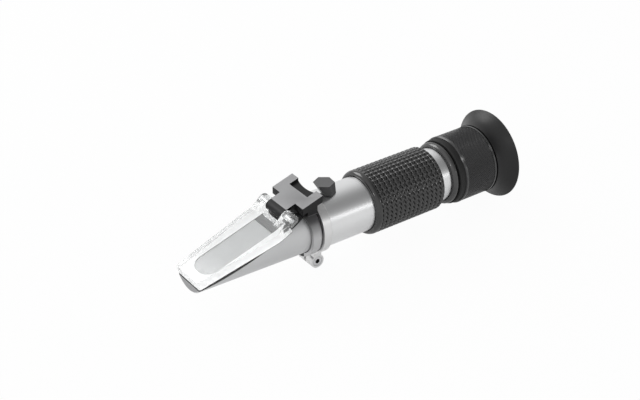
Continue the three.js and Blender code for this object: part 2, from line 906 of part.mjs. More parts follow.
// The plate's outline lying on the slope, with rounded front corners.
function platePlan() {
  const front = plateFrontSetback;
  const earOuter = noseHalfWidth + fit + earThickness;
  const shape = new THREE.Shape();
  shape.moveTo(plateRearSetback, -earOuter);
  shape.lineTo(plateRearSetback, earOuter);
  shape.lineTo(plateWidestSetback, plateWidestHalfWidth);
  shape.lineTo(front + plateCornerRadius, plateFrontHalfWidth);
  shape.absarc(front + plateCornerRadius, plateFrontHalfWidth - plateCornerRadius, plateCornerRadius,
    quarterTurn, halfTurn);
  shape.absarc(front + plateCornerRadius, -plateFrontHalfWidth + plateCornerRadius, plateCornerRadius,
    halfTurn, halfTurn + quarterTurn);
  shape.lineTo(plateWidestSetback, -plateWidestHalfWidth);
  return shape;
}

// An ear seen from the side: round the pin, with a web down to the plate.
function earShape() {
  const webStation = housingFront - earWebSetback * Math.cos(prismAngle);
  const lift = plateGap + plateThickness / 2;
  const webFoot = new THREE.Vector2(-webStation, slopeHeight(webStation, lift));
  const centre = new THREE.Vector2(-pinStation, pinHeight);
  const tangent = tangentAngle(centre, earRadius, webFoot, -1);
  const rearFoot = new THREE.Vector2(-pinStation, slopeHeight(pinStation, lift));
  const shape = new THREE.Shape();
  shape.moveTo(rearFoot.x, rearFoot.y);
  shape.lineTo(webFoot.x, webFoot.y);
  shape.absarc(centre.x, centre.y, earRadius, tangent, -quarterTurn / 3, true);
  return shape;
}

function daylightPlate() {
  const slot = noseHalfWidth + fit;
  const outer = slot + earThickness;
  const clearance = knuckleRadius + fit * 2;
  const slotFront = pinStation + clearance;
  const slotRear = pinStation - earRadius * 2;
  const high = pinHeight + earRadius;
  const pinHole = pinRadius + fit;
  const plate = slopeExtrusion(platePlan(), plateGap, plateThickness)
    .add(sideExtrusion(earShape(), slot, outer))
    .add(sideExtrusion(earShape(), -outer, -slot))
    .subtract(block(slotRear, slotFront, -slot, slot, 0, high))
    .subtract(crossBar(pinStation, pinHeight, -outer - overrun, outer + overrun, pinHole));
  return piece('daylight_plate', plate, materials.clearPlastic);
}

function calibrationScrew() {
  const headBottom = tubeRadius + fit;
  const headTop = headBottom + screwHeadHeight;
  const tipBottom = tubeBore - screwTipLength;
  const slotHalf = screwSlotWidth / 2;
  const slot = block(
    screwStation - screwHeadRadius - overrun,
    screwStation + screwHeadRadius + overrun,
    -screwAcross - slotHalf,
    -screwAcross + slotHalf,
    headTop - screwSlotDepth,
    headTop + overrun,
  );
  const screw = calibrationPin(headBottom, headTop, screwHeadRadius)
    .add(calibrationPin(tubeBore, headBottom + fit, screwShankRadius))
    .add(calibrationPin(tipBottom, tubeBore + fit, screwTipRadius, screwTipOffset))
    .subtract(slot);
  return piece('calibration_screw', screw, materials.brass);
}

function calibrationCap() {
  const cavity = screwHeadRadius + fit;
  const cavityTop = tubeRadius + screwHeadHeight + fit * 2;
  const height = capHeight + capSkirt;
  const geometry = new THREE.CylinderGeometry(capTopRadius, capBaseRadius, height, capSides);
  geometry.rotateY(capTwist);
  geometry.rotateX(quarterTurn);
  geometry.translate(0, 0, height / 2 - capSkirt);
  geometry.applyMatrix4(new THREE.Matrix4().makeShear(0, 0, 0, 0, -capOverhang / capHeight, 0));
  geometry.translate(-screwStation, -screwAcross, tubeRadius);
  const cap = solid(geometry)
    .subtract(rod(screwStation - capTopRadius * 2, screwStation + capTopRadius * 2, tubeRadius + fit))
    .subtract(calibrationPin(tubeRadius - capSkirt - overrun, cavityTop, cavity));
  return piece('calibration_cap', cap, materials.blackAnodised);
}

function objectiveGroup() {
  const lensRadius = carriageLensBore - fit;
  const shoulder = objectiveEnd + fit;
  const tipRoom = screwTipRadius + screwTipOffset + carriageTravel + fit / 2;
  const notchHalf = stripWidth / 2 + fit;
  const stripTop = stripBottom() + stripThickness;
  const carriage = turnedRing([
    [carriageStart, carriageLensBore],
    [carriageStart, inTubeRadius],
    [carriageEnd, inTubeRadius],
    [carriageEnd, carriageShoulderBore],
    [shoulder, carriageShoulderBore],
    [shoulder, carriageLensBore],
  ], innerSegments)
    .subtract(calibrationPin(carriageShoulderBore - overrun, inTubeRadius + overrun, tipRoom))
    .subtract(block(
      carriageStart - overrun,
      stripEnd + fit + carriageTravel,
      -notchHalf,
      notchHalf,
      -inTubeRadius - overrun,
      stripTop + fit,
    ));
  const retainerEnd = carriageStart + retainerThickness;
  const retainer = sleeve(carriageStart, retainerEnd, lensRadius, carriageLensBore - retainerLip);
  const glass = lens(objectiveStart, objectiveEdge, objectiveBulge, lensRadius);
  return [
    piece('objective_carriage', carriage, materials.blackCell),
    piece('objective_lens', glass, materials.lensGlass),
    piece('objective_retainer', retainer, materials.blackCell),
  ];
}

// The strip lies in the bottom of the tube: its lower corners clear the bore by the fit.
function stripBottom() {
  return -Math.sqrt(inTubeRadius ** 2 - (stripWidth / 2) ** 2);
}

function bimetalParts() {
  const bottom = stripBottom();
  const top = bottom + stripThickness;
  const hole = stripScrewShankRadius + fit;
  const strip = block(stripStart, stripEnd, -stripWidth / 2, stripWidth / 2, bottom, top)
    .subtract(uprightPin(stripScrewStation, 0, bottom - overrun, top + overrun, hole, hole));
  const headBottom = top + fit;
  const headTop = headBottom + stripScrewHeadHeight;
  const head = stripScrewHeadRadius;
  const shank = stripScrewShankRadius;
  const screw = uprightPin(stripScrewStation, 0, headBottom, headTop, head, head)
    .add(uprightPin(stripScrewStation, 0, -tubeRadius, headBottom + fit, shank, shank));
  return [
    piece('bimetal_strip', strip, materials.brass),
    piece('bimetal_screw', screw, materials.steel),
  ];
}

const instrument = new THREE.Group();
instrument.add(
  eyecup(),
  focusRing(),
  wiperRing(),
  eyepieceRetainer(),
  lensBarrel(),
  ...eyepieceOptics(),
  guidePin(),
  mainTube(),
  rubberGrip(),
  ...reticleStack(),
  clampCollar(),
  clampScrew(),
  prismHousing(),
  measuringPrism(),
  lightStop(),
  hingeBracket(),
  bracketSetScrew(),
  hingePin(),
  daylightPlate(),
  calibrationScrew(),
  calibrationCap(),
  ...objectiveGroup(),
  ...bimetalParts(),
);

// The origin is under the middle of the instrument, on the surface that it lies on.
const extent = new THREE.Box3().setFromObject(instrument);
instrument.position.set(-(extent.min.x + extent.max.x) / 2, 0, standHeight);

const group = new THREE.Group();
group.add(instrument);
export default group;
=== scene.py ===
# %% [markdown]
# # A coolant refractometer
# This lesson dresses a measured model of a hand-held refractometer. The solids, their sizes
# and their joints come from the frame; here every visible piece is modelled again with smooth
# curves, rounded edges and real surface detail, and gets a finish made of shader nodes.

# %% Load the frame
import math

import bpy
from mathutils import Matrix, Vector


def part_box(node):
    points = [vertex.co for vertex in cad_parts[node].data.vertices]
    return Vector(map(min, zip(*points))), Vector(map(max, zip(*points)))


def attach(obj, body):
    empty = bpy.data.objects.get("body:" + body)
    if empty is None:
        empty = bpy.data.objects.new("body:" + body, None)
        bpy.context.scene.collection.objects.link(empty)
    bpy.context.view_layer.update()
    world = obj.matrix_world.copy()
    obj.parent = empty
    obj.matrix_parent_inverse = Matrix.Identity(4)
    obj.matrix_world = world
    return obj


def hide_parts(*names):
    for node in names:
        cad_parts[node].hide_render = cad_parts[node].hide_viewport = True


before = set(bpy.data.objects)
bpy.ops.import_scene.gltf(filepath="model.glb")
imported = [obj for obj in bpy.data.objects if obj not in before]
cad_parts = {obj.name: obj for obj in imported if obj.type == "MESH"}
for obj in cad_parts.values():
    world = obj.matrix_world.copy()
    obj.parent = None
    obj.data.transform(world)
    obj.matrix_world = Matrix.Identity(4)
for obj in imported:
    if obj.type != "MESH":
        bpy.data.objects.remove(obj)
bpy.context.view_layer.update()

# %% [markdown]
# ## One set of measures
# The instrument lies along X. Every piece could be placed in the scene's own metres, but the
# numbers would say little. Here a station is a distance in millimetres from the eyecup's rim
# towards the prism, and a height is measured from the optical axis, so the numbers read like
# those on a workshop drawing. One function turns them into a place in the scene.

# %% Measures
MM = 0.001
FULL_TURN = 2 * math.pi
rim_low, rim_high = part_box("eyecup")
AXIS_HEIGHT = (rim_low.z + rim_high.z) / 2
ALONG = Vector((1, 0, 0))
ACROSS = Vector((0, 1, 0))
UP = Vector((0, 0, 1))


def at(station, across=0.0, height=0.0):
    """The place of a station, a distance across and a height above the optical axis."""
    return Vector((rim_high.x - station * MM, across * MM, AXIS_HEIGHT + height * MM))


def station_of(point):
    """The station, in millimetres, of a place in the scene."""
    return (rim_high.x - point.x) / MM


def radius_of(point):
    """The distance of a place from the optical axis, in millimetres."""
    return math.hypot(point.y, point.z - AXIS_HEIGHT) / MM


print("optical axis at", round(AXIS_HEIGHT / MM, 2), "mm, eyecup rim at x =", round(rim_high.x, 5))

# %% Stations of the main pieces
EYECUP_LENGTH, EYECUP_DEPTH = 7.9, 5.2
NECK_START, RING_START, RING_END, NOSE_END = 5.5, 8.2, 25.4, 28.2
WIPER_START, WIPER_END = 28.5, 31.4
TUBE_START, TUBE_RADIUS, TUBE_BORE = 14.1, 11.95, 10.6
GRIP_START, GRIP_END, GRIP_RADIUS = 36.5, 72.5, 14.15
COLLAR_START, COLLAR_END, COLLAR_RADIUS = 95.0, 99.2, 13.1
BAND_START, BAND_END, BAND_RADIUS, BAND_FLARE = 99.5, 104.3, 12.5, 2.1
BLOCK_END, TOP_AT_END = 112.8, 14.4
HOUSING_START, HOUSING_FRONT, HOUSING_RADIUS, HOUSING_NOSE = 99.35, 156.05, 10.8, 10.05
SEAT_START, SEAT_DROP = 109.05, 6.3
SLOPE = math.radians(16.7)
OFF_SEAT = Vector((-math.sin(SLOPE), 0, math.cos(SLOPE)))
PIN_STATION, PIN_HEIGHT, PIN_RADIUS = 113.2, 11.7, 0.9
SCREW_STATION, SCREW_ACROSS = 88.9, -1.2
LUG_STATION, LUG_DROP, LUG_RADIUS, LUG_HALF = 96.9, -16.95, 3.1, 4.8
GRUB_STATION = 101.9
SLEEVE_BORE, PIN_HOLE, GAP = 12.25, 1.2, 0.3
print("grip length", round(GRIP_END - GRIP_START, 2), "mm")

# %% [markdown]
# ## Drawing an outline
# Most pieces start as a line drawn point by point, as a turner draws half a section. A small
# plane is merged to a single vertex, and that vertex is extruded to each next point. Once the
# line is there it can be spun into a ring or filled and pulled into a plate.

# %% Selecting and settling
def only(piece):
    """Leaves object mode and makes the piece the one that is selected."""
    if bpy.context.mode != "OBJECT":
        bpy.ops.object.mode_set(mode="OBJECT")
    bpy.ops.object.select_all(action="DESELECT")
    if piece is not None:
        piece.select_set(True)
        bpy.context.view_layer.objects.active = piece


def settle(piece, name):
    """Names the piece and puts its object at the origin, with its place in its mesh."""
    piece.name = piece.data.name = name
    only(piece)
    bpy.ops.object.transform_apply(location=True, rotation=True, scale=True)
    return piece


print("selecting tools ready")

# %% Drawing a line point by point
def outline(name, points, closed=True):
    """A line of edges through the points, left in edit mode with all of it selected."""
    only(None)
    bpy.ops.mesh.primitive_plane_add(size=MM, location=points[0])
    piece = settle(bpy.context.object, name)
    bpy.ops.object.mode_set(mode="EDIT")
    bpy.ops.mesh.select_mode(type="VERT")
    bpy.ops.mesh.select_all(action="SELECT")
    bpy.ops.mesh.merge(type="CENTER")
    ends = points[1:] + points[:1] if closed else points[1:]
    for here, there in zip(points, ends):
        bpy.ops.mesh.extrude_region_move(TRANSFORM_OT_translate={"value": there - here})
    bpy.ops.mesh.select_all(action="SELECT")
    bpy.ops.mesh.remove_doubles(threshold=MM / 1000)
    return piece


def tidy(piece):
    """Merges doubles, turns the faces outwards and leaves edit mode."""
    bpy.ops.mesh.select_all(action="SELECT")
    bpy.ops.mesh.remove_doubles(threshold=MM / 1000)
    bpy.ops.mesh.normals_make_consistent(inside=False)
    bpy.ops.object.mode_set(mode="OBJECT")
    return piece


print("line tools ready")

# %% Turning and extruding
def turned(name, profile, steps=144, closed=True):
    """A piece spun round the optical axis from points of station and radius."""
    piece = outline(name, [at(station, 0, radius) for station, radius in profile], closed)
    bpy.ops.mesh.spin(steps=steps, angle=FULL_TURN, center=at(0), axis=ALONG)
    return tidy(piece)


def plug(name, start, end, radius):
    """A round plug on the optical axis."""
    return turned(name, [(start, 0), (start, radius), (end, radius), (end, 0)], closed=False)


def slab(name, points, travel):
    """A plate: a filled outline pulled along a vector."""
    piece = outline(name, points)
    bpy.ops.mesh.edge_face_add()
    bpy.ops.mesh.extrude_region_move(TRANSFORM_OT_translate={"value": travel})
    return tidy(piece)


def brick(name, stations, across, heights):
    """A plain block between two stations, two places across and two heights."""
    (first, last), (near, far), (low, high) = stations, across, heights
    corners = [at(first, near, low), at(last, near, low), at(last, far, low), at(first, far, low)]
    return slab(name, corners, UP * (high - low) * MM)


def bar(name, start, end, radius, sides=48, twist=0.0, end_radius=None):
    """A round or many-sided bar between two places."""
    only(None)
    span = end - start
    turn = span.to_track_quat("Z", "Y") @ Matrix.Rotation(twist, 4, "Z").to_quaternion()
    bpy.ops.mesh.primitive_cone_add(
        vertices=sides,
        radius1=radius * MM,
        radius2=(radius if end_radius is None else end_radius) * MM,
        depth=span.length,
        location=(start + end) / 2,
        rotation=turn.to_euler(),
    )
    return settle(bpy.context.object, name)


print("drawing tools ready")

# %% [markdown]
# ## Joining, carving and rounding
# Two solids become one with a Boolean modifier that is applied at once. A Bevel modifier then
# rounds the edges that are left, because no real edge is perfectly sharp and it is the
# rounding that catches the light. Operators act on what is selected, so faces and edges are
# chosen in code, by their place or direction.

# %% Joining, carving and rounding
def combine(piece, other, how):
    """Applies a Boolean of another solid to the piece and deletes that solid."""
    only(piece)
    step = piece.modifiers.new("combine", "BOOLEAN")
    step.operation = how
    step.solver = "EXACT"
    step.object = other
    bpy.ops.object.modifier_apply(modifier=step.name)
    bpy.data.objects.remove(other, do_unlink=True)
    return piece


def carve(piece, *cutters):
    """Cuts each cutter out of the piece."""
    for cutter in cutters:
        combine(piece, cutter, "DIFFERENCE")


def weld(piece, *others):
    """Makes the piece and the others one solid."""
    for other in others:
        combine(piece, other, "UNION")


def soften(piece, width, segments=2, sharper_than=32):
    """Rounds the piece's sharp edges, shades it smoothly and keeps its flat faces flat."""
    only(piece)
    if width:
        step = piece.modifiers.new("round", "BEVEL")
        step.width = width * MM
        step.segments = segments
        step.limit_method = "ANGLE"
        step.angle_limit = math.radians(sharper_than)
        step.use_clamp_overlap = True
        bpy.ops.object.modifier_apply(modifier=step.name)
    bpy.ops.object.shade_smooth_by_angle(angle=math.radians(sharper_than + 8))
    step = piece.modifiers.new("flat faces", "WEIGHTED_NORMAL")
    step.keep_sharp = True
    bpy.ops.object.modifier_apply(modifier=step.name)
    return piece


print("joining and rounding tools ready")

# %% Choosing faces and edges
def choose_faces(piece, test):
    """In edit mode, selects the faces whose centre and normal pass the test."""
    bpy.ops.mesh.select_mode(type="FACE")
    bpy.ops.mesh.select_all(action="DESELECT")
    bpy.ops.object.mode_set(mode="OBJECT")
    for face in piece.data.polygons:
        face.select = bool(test(face.center, face.normal))
    bpy.ops.object.mode_set(mode="EDIT")
    return sum(face.select for face in piece.data.polygons)


def choose_edges(piece, test):
    """In edit mode, selects the edges whose two ends pass the test."""
    bpy.ops.mesh.select_mode(type="EDGE")
    bpy.ops.mesh.select_all(action="DESELECT")
    bpy.ops.object.mode_set(mode="OBJECT")
    spots = [vertex.co.copy() for vertex in piece.data.vertices]
    for edge in piece.data.edges:
        edge.select = bool(test(*(spots[i] for i in edge.vertices)))
    bpy.ops.object.mode_set(mode="EDIT")
    return sum(edge.select for edge in piece.data.edges)


print("choosing tools ready")

# %% [markdown]
# ## Camera
# The photograph was taken from in front of the prism, above it and to one side, with a long
# lens. The camera stands there, and nothing else in the scene depends on it.

# %% Camera
camera_data = bpy.data.cameras.new("camera")
camera = bpy.data.objects.new("camera", camera_data)
bpy.context.collection.objects.link(camera)
camera_data.sensor_width = 36
camera_data.lens = 84.375
camera_place = at(397.9, -423.3, 333.7)
look = Vector((0.49708, 0.68840, -0.52823)).normalized()
image_up = Vector((0.30837, 0.42887, 0.84910))
image_right = look.cross(image_up).normalized()
image_up = image_right.cross(look)
turned_to = Matrix((image_right, image_up, -look)).transposed().to_4x4()
camera.matrix_world = Matrix.Translation(camera_place) @ turned_to
camera_data.clip_start, camera_data.clip_end = 0.01, 20
bpy.context.scene.camera = camera
bpy.context.scene.view_settings.view_transform = "Standard"
print("camera at", [round(v, 3) for v in camera.location])

# %% [markdown]
# ## Light
# A product shot on white has a soft light behind the object, two small ones at the side and in
# front that put glints on rubber and steel, and a pale table. The world is a dome that is
# bright round the sides and darker in one patch above the front: a polished tube mirrors that
# patch as a soft dark streak along its length.

# %% Lamps
MIDDLE = at(78)


def soft_lamp(name, direction, distance, size, power):
    """A square area lamp that points at the middle of the instrument."""
    data = bpy.data.lights.new(name, "AREA")
    data.size = size
    data.energy = power
    lamp = bpy.data.objects.new(name, data)
    bpy.context.collection.objects.link(lamp)
    lamp.location = MIDDLE + Vector(direction).normalized() * distance
    lamp.rotation_euler = (MIDDLE - lamp.location).to_track_quat("-Z", "Y").to_euler()


soft_lamp("behind", (-0.33, 0.80, 0.55), distance=1.1, size=0.6, power=4.0)
soft_lamp("side", (-0.75, -0.42, 0.50), distance=1.0, size=0.06, power=0.3)
soft_lamp("front", (0.51, -0.80, 0.25), distance=1.0, size=0.10, power=0.23)

# %% Adding and wiring nodes
def new_node(tree, kind, **settings):
    """A shader node with its settings."""
    node = tree.nodes.new("ShaderNode" + kind)
    for setting, value in settings.items():
        setattr(node, setting, value)
    return node


def wire(tree, *links):
    """Links each output to its input."""
    for output, socket in links:
        tree.links.new(output, socket)


def math_node(tree, operation, first, second=None):
    """A Math node with its inputs linked or set. Returns its output."""
    node = new_node(tree, "Math", operation=operation)
    for socket, value in zip(node.inputs, (first, second)):
        if isinstance(value, (int, float)):
            socket.default_value = value
        elif value is not None:
            tree.links.new(value, socket)
    return node.outputs[0]


def dot_node(tree, first, second):
    """The dot product of a linked vector and one that is linked or set."""
    node = new_node(tree, "VectorMath", operation="DOT_PRODUCT")
    tree.links.new(first, node.inputs[0])
    if isinstance(second, tuple):
        node.inputs[1].default_value = second
    else:
        tree.links.new(second, node.inputs[1])
    return node.outputs["Value"]


print("node tools ready")

# %% World
DARK_PATCH = (0.508, -0.408, 0.758)
DOME_GREYS = [(0.0, 0.70), (0.60, 0.85), (0.78, 0.80), (0.895, 0.55), (0.955, 0.33), (1.0, 0.22)]
world = bpy.data.worlds.new("dome")
bpy.context.scene.world = world
world.use_nodes = True
tree = world.node_tree
tree.nodes.clear()
toward = dot_node(tree, new_node(tree, "TexCoord").outputs["Generated"], DARK_PATCH)
spread = new_node(tree, "MapRange")
spread.inputs["From Min"].default_value = -1.0
ramp = new_node(tree, "ValToRGB")
for position, grey in DOME_GREYS[1:-1]:
    ramp.color_ramp.elements.new(position)
for stop, (position, grey) in zip(ramp.color_ramp.elements, DOME_GREYS):
    stop.color = (grey, grey, grey, 1)
dome = new_node(tree, "Background")
white = new_node(tree, "Background")
white.inputs["Color"].default_value = (1, 1, 1, 1)
mix = new_node(tree, "MixShader")
wire(tree, (toward, spread.inputs["Value"]), (spread.outputs["Result"], ramp.inputs["Fac"]),
     (ramp.outputs["Color"], dome.inputs["Color"]),
     (new_node(tree, "LightPath").outputs["Is Camera Ray"], mix.inputs["Fac"]),
     (dome.outputs[0], mix.inputs[1]), (white.outputs[0], mix.inputs[2]),
     (mix.outputs[0], new_node(tree, "OutputWorld").inputs["Surface"]))
print("dome greys", [(stop.position, stop.color[0]) for stop in ramp.color_ramp.elements])

# %% Table, white to the eye and still with a shadow
SEEN_SHARE, MIRRORED_SHARE = 0.96, 0.38
only(None)
bpy.ops.mesh.primitive_plane_add(size=6, location=(0, 0, -0.0002))
table = settle(bpy.context.object, "table")
paper = bpy.data.materials.new("white table")
paper.use_nodes = True
tree = paper.node_tree
tree.nodes.clear()
matt = new_node(tree, "BsdfDiffuse")
matt.inputs["Color"].default_value = (0.9, 0.9, 0.9, 1)
glow = new_node(tree, "Emission")
glow.inputs["Color"].default_value = (1, 1, 1, 1)
glow.inputs["Strength"].default_value = 1.0
ray = new_node(tree, "LightPath").outputs
seen = math_node(tree, "MAXIMUM", ray["Is Camera Ray"], ray["Is Transmission Ray"])
mirrored = math_node(tree, "MULTIPLY", ray["Is Glossy Ray"], MIRRORED_SHARE)
share = math_node(tree, "MULTIPLY", math_node(tree, "MAXIMUM", seen, mirrored), SEEN_SHARE)
mix = new_node(tree, "MixShader")
wire(tree, (share, mix.inputs["Fac"]), (matt.outputs[0], mix.inputs[1]), (glow.outputs[0], mix.inputs[2]),
     (mix.outputs[0], new_node(tree, "OutputMaterial").inputs["Surface"]))
table.data.materials.append(paper)
print("table", [round(v, 2) for v in table.dimensions])

# %% [markdown]
# ## Effects that the finishes share
# Four small effects make up the finishes of this instrument: an uneven tone, a fine grain, the
# rings that a lathe leaves, and pale edges, which are wear where hands rub and a painted
# highlight along the edges. Each is a node group with named sockets, built once and placed in
# each material with its own values.

# %% Node group helper
VECTOR, NUMBER, COLOUR = "NodeSocketVector", "NodeSocketFloat", "NodeSocketColor"


def new_group(name, inputs, outputs):
    """An empty shader node group. Returns it with the sockets it takes from and gives to."""
    group = bpy.data.node_groups.new(name, "ShaderNodeTree")
    for label, kind, value in inputs:
        socket = group.interface.new_socket(name=label, in_out="INPUT", socket_type=kind)
        if value is not None:
            socket.default_value = value
    for label, kind in outputs:
        group.interface.new_socket(name=label, in_out="OUTPUT", socket_type=kind)
    print("effect:", name, "gives", [label for label, kind in outputs])
    return group, group.nodes.new("NodeGroupInput").outputs, group.nodes.new("NodeGroupOutput").inputs


# %% Uneven tone: the colour drifts a little from place to place
uneven_tone, taken, given = new_group(
    "uneven tone",
    [("Place", VECTOR, None), ("Colour", COLOUR, None), ("Scale", NUMBER, 60.0), ("Spread", NUMBER, 0.1)],
    [("Colour", COLOUR), ("Drift", NUMBER)],
)
clouds = new_node(uneven_tone, "TexNoise")
clouds.inputs["Detail"].default_value = 4
centred = math_node(uneven_tone, "SUBTRACT", clouds.outputs["Fac"], 0.5)
drift = math_node(uneven_tone, "MULTIPLY", centred, taken["Spread"])
shade = new_node(uneven_tone, "HueSaturation")
wire(uneven_tone, (taken["Place"], clouds.inputs["Vector"]), (taken["Scale"], clouds.inputs["Scale"]),
     (math_node(uneven_tone, "ADD", drift, 1.0), shade.inputs["Value"]),
     (taken["Colour"], shade.inputs["Color"]), (shade.outputs["Color"], given["Colour"]),
     (drift, given["Drift"]))

# %% Fine grain: the tooth of moulded rubber, blasted metal or frosting
fine_grain, taken, given = new_group(
    "fine grain",
    [("Place", VECTOR, None), ("Scale", NUMBER, 2500.0), ("Depth", NUMBER, 1.0)],
    [("Height", NUMBER)],
)
tooth = new_node(fine_grain, "TexNoise")
tooth.inputs["Detail"].default_value = 2
height = math_node(fine_grain, "MULTIPLY", tooth.outputs["Fac"], taken["Depth"])
wire(fine_grain, (taken["Place"], tooth.inputs["Vector"]), (taken["Scale"], tooth.inputs["Scale"]),
     (height, given["Height"]))

# %% Lathe rings: fine lines round the optical axis
lathe_rings, taken, given = new_group(
    "lathe rings",
    [("Place", VECTOR, None), ("Scale", NUMBER, 6000.0), ("Depth", NUMBER, 1.0)],
    [("Height", NUMBER)],
)
parts = new_node(lathe_rings, "SeparateXYZ")
lines = new_node(lathe_rings, "TexNoise", noise_dimensions="1D")
lines.inputs["Detail"].default_value = 2
height = math_node(lathe_rings, "MULTIPLY", lines.outputs["Fac"], taken["Depth"])
wire(lathe_rings, (taken["Place"], parts.inputs[0]), (parts.outputs["X"], lines.inputs["W"]),
     (taken["Scale"], lines.inputs["Scale"]), (height, given["Height"]))

# %% Worn and highlit edges: the coating is thin where hands and benches rub, and the pale edge is also a painted highlight
worn_and_highlit_edges, taken, given = new_group(
    "worn and highlit edges",
    [("Edge", NUMBER, 0.5), ("Place", VECTOR, None), ("From", NUMBER, 0.53), ("Amount", NUMBER, 0.5)],
    [("Mask", NUMBER)],
)
patches = new_node(worn_and_highlit_edges, "TexNoise")
patches.inputs["Scale"].default_value = 900
above = math_node(worn_and_highlit_edges, "SUBTRACT", taken["Edge"], taken["From"])
steep = math_node(worn_and_highlit_edges, "MULTIPLY", above, 12.0)
patchy = math_node(worn_and_highlit_edges, "MULTIPLY", steep, patches.outputs["Fac"])
kept = new_node(worn_and_highlit_edges, "Clamp")
wire(worn_and_highlit_edges, (taken["Place"], patches.inputs["Vector"]),
     (math_node(worn_and_highlit_edges, "MULTIPLY", patchy, taken["Amount"]), kept.inputs["Value"]),
     (kept.outputs[0], given["Mask"]))

# %% [markdown]
# ## The recipe of a finish
# Every finish starts from the same recipe: a base colour that drifts, a roughness that drifts
# with it, and a bump of fine grain, to which the tube adds its lathe rings. Constants stay on
# the shader's own sockets. What is special about one finish is added after the recipe has run.

# %% Recipe
def set_group(tree, group, place, **values):
    """Places a node group in a material, linked to the place it reads."""
    node = new_node(tree, "Group", node_tree=group)
    tree.links.new(place, node.inputs["Place"])
    for label, value in values.items():
        node.inputs[label].default_value = value
    return node


def new_finish(name, colour, roughness, metallic=0.0, tone=(60, 0.12), grain=(5000, 1.0), rings=None,
               bump=0.00003, drift_roughness=0.6, **sockets):
    """A material from the shared recipe. Returns it with its tree, shader and place socket."""
    material = bpy.data.materials.new(name)
    material.use_nodes = True
    tree = material.node_tree
    shader = tree.nodes["Principled BSDF"]
    place = new_node(tree, "TexCoord").outputs["Object"]
    toned = set_group(tree, uneven_tone, place, Scale=tone[0], Spread=tone[1], Colour=(*colour, 1))
    drift = math_node(tree, "MULTIPLY", toned.outputs["Drift"], drift_roughness)
    wire(tree, (toned.outputs["Colour"], shader.inputs["Base Color"]),
         (math_node(tree, "ADD", drift, roughness), shader.inputs["Roughness"]))
    shader.inputs["Metallic"].default_value = metallic
    heights = [set_group(tree, group, place, Scale=size[0], Depth=size[1]).outputs["Height"]
               for group, size in ((fine_grain, grain), (lathe_rings, rings)) if size]
    relief = new_node(tree, "Bump")
    relief.inputs["Distance"].default_value = bump
    total = heights[0] if len(heights) == 1 else math_node(tree, "ADD", *heights)
    wire(tree, (total, relief.inputs["Height"]), (relief.outputs["Normal"], shader.inputs["Normal"]))
    for label, value in sockets.items():
        shader.inputs[label.replace("_", " ")].default_value = value
    return material, tree, shader, place


def paint_edge_wear_and_highlight(finish, edge_colour, amount, start=0.53):
    """Lets a paler colour show on the edges of a finish: wear, and a painted highlight along them."""
    material, tree, shader, place = finish
    wear_and_highlight = set_group(tree, worn_and_highlit_edges, place, Amount=amount, From=start)
    blend = new_node(tree, "Mix", data_type="RGBA")
    blend.inputs[7].default_value = (*edge_colour, 1)
    wire(tree, (new_node(tree, "NewGeometry").outputs["Pointiness"], wear_and_highlight.inputs["Edge"]),
         (wear_and_highlight.outputs["Mask"], blend.inputs[0]),
         (shader.inputs["Base Color"].links[0].from_socket, blend.inputs[6]),
         (blend.outputs[2], shader.inputs["Base Color"]))


print("recipe ready")

# %% [markdown]
# ## Bare metals
# The tube, the collar, the screws and pins and the bimetal strip are bare metal. A bare metal
# has no colour but that of its reflection, so Metallic is one and the roughness says how it was
# finished: drawn and satin for the tube, turned for the collar, bright for the screws. The grain
# is far too fine to model, so it is a bump.

# %% Metals
tube_metal = new_finish("satin aluminium", (0.84, 0.845, 0.85), 0.33, 1.0,
                        tone=(90, 0.05), grain=(5000, 0.5), rings=(9000, 0.6), bump=0.00001)
collar_metal = new_finish("turned aluminium collar", (0.80, 0.80, 0.80), 0.36, 1.0,
                          tone=(120, 0.06), grain=(4000, 0.6), bump=0.00001)
steel = new_finish("bright steel", (0.66, 0.67, 0.68), 0.25, 1.0,
                   tone=(400, 0.1), grain=(6000, 0.6), bump=0.00001)
brass = new_finish("brass", (0.70, 0.55, 0.28), 0.3, 1.0,
                   tone=(300, 0.15), grain=(6000, 0.6), bump=0.00001)
print("metals:", [finish[0].name for finish in (tube_metal, collar_metal, steel, brass)])

# %% [markdown]
# ## Blacks
# Rubber, anodised aluminium and matt cells are all nearly the same black, so a darker or
# lighter colour alone would not tell them apart. Their gloss does: the grip and the wiper ring
# shine, the focus ring has a soft sheen with pale edges that are worn and also a painted
# highlight, and the eyecup is dull.

# %% Blacks
grip_rubber = new_finish("moulded grip rubber", (0.013, 0.013, 0.013), 0.13,
                         tone=(160, 0.3), grain=(7000, 0.4), bump=0.00001, Specular_IOR_Level=0.85)
eyecup_rubber = new_finish("soft eyecup rubber", (0.007, 0.007, 0.0075), 0.40,
                           tone=(70, 0.3), grain=(5000, 1.0), bump=0.00002, Specular_IOR_Level=0.42)
wiper_rubber = new_finish("wiper rubber", (0.034, 0.034, 0.034), 0.17,
                          tone=(160, 0.3), grain=(6000, 0.6), bump=0.00001, Specular_IOR_Level=0.9)
ring_black = new_finish("black anodised ring", (0.020, 0.020, 0.021), 0.22,
                        tone=(120, 0.25), grain=(6000, 0.6), bump=0.00001, Specular_IOR_Level=0.6)
cap_black = new_finish("cap rubber", (0.030, 0.030, 0.031), 0.40,
                       tone=(200, 0.3), grain=(5000, 1.0), bump=0.00002)
cell_black = new_finish("matt black cell", (0.018, 0.018, 0.018), 0.6,
                        tone=(200, 0.3), grain=(4000, 1.0), bump=0.00002)
# Pale edges on the focus ring: wear, and a painted highlight along its edges.
paint_edge_wear_and_highlight(ring_black, (0.35, 0.35, 0.35), 0.6, 0.55)
print("finishes so far:", [m.name for m in bpy.data.materials])
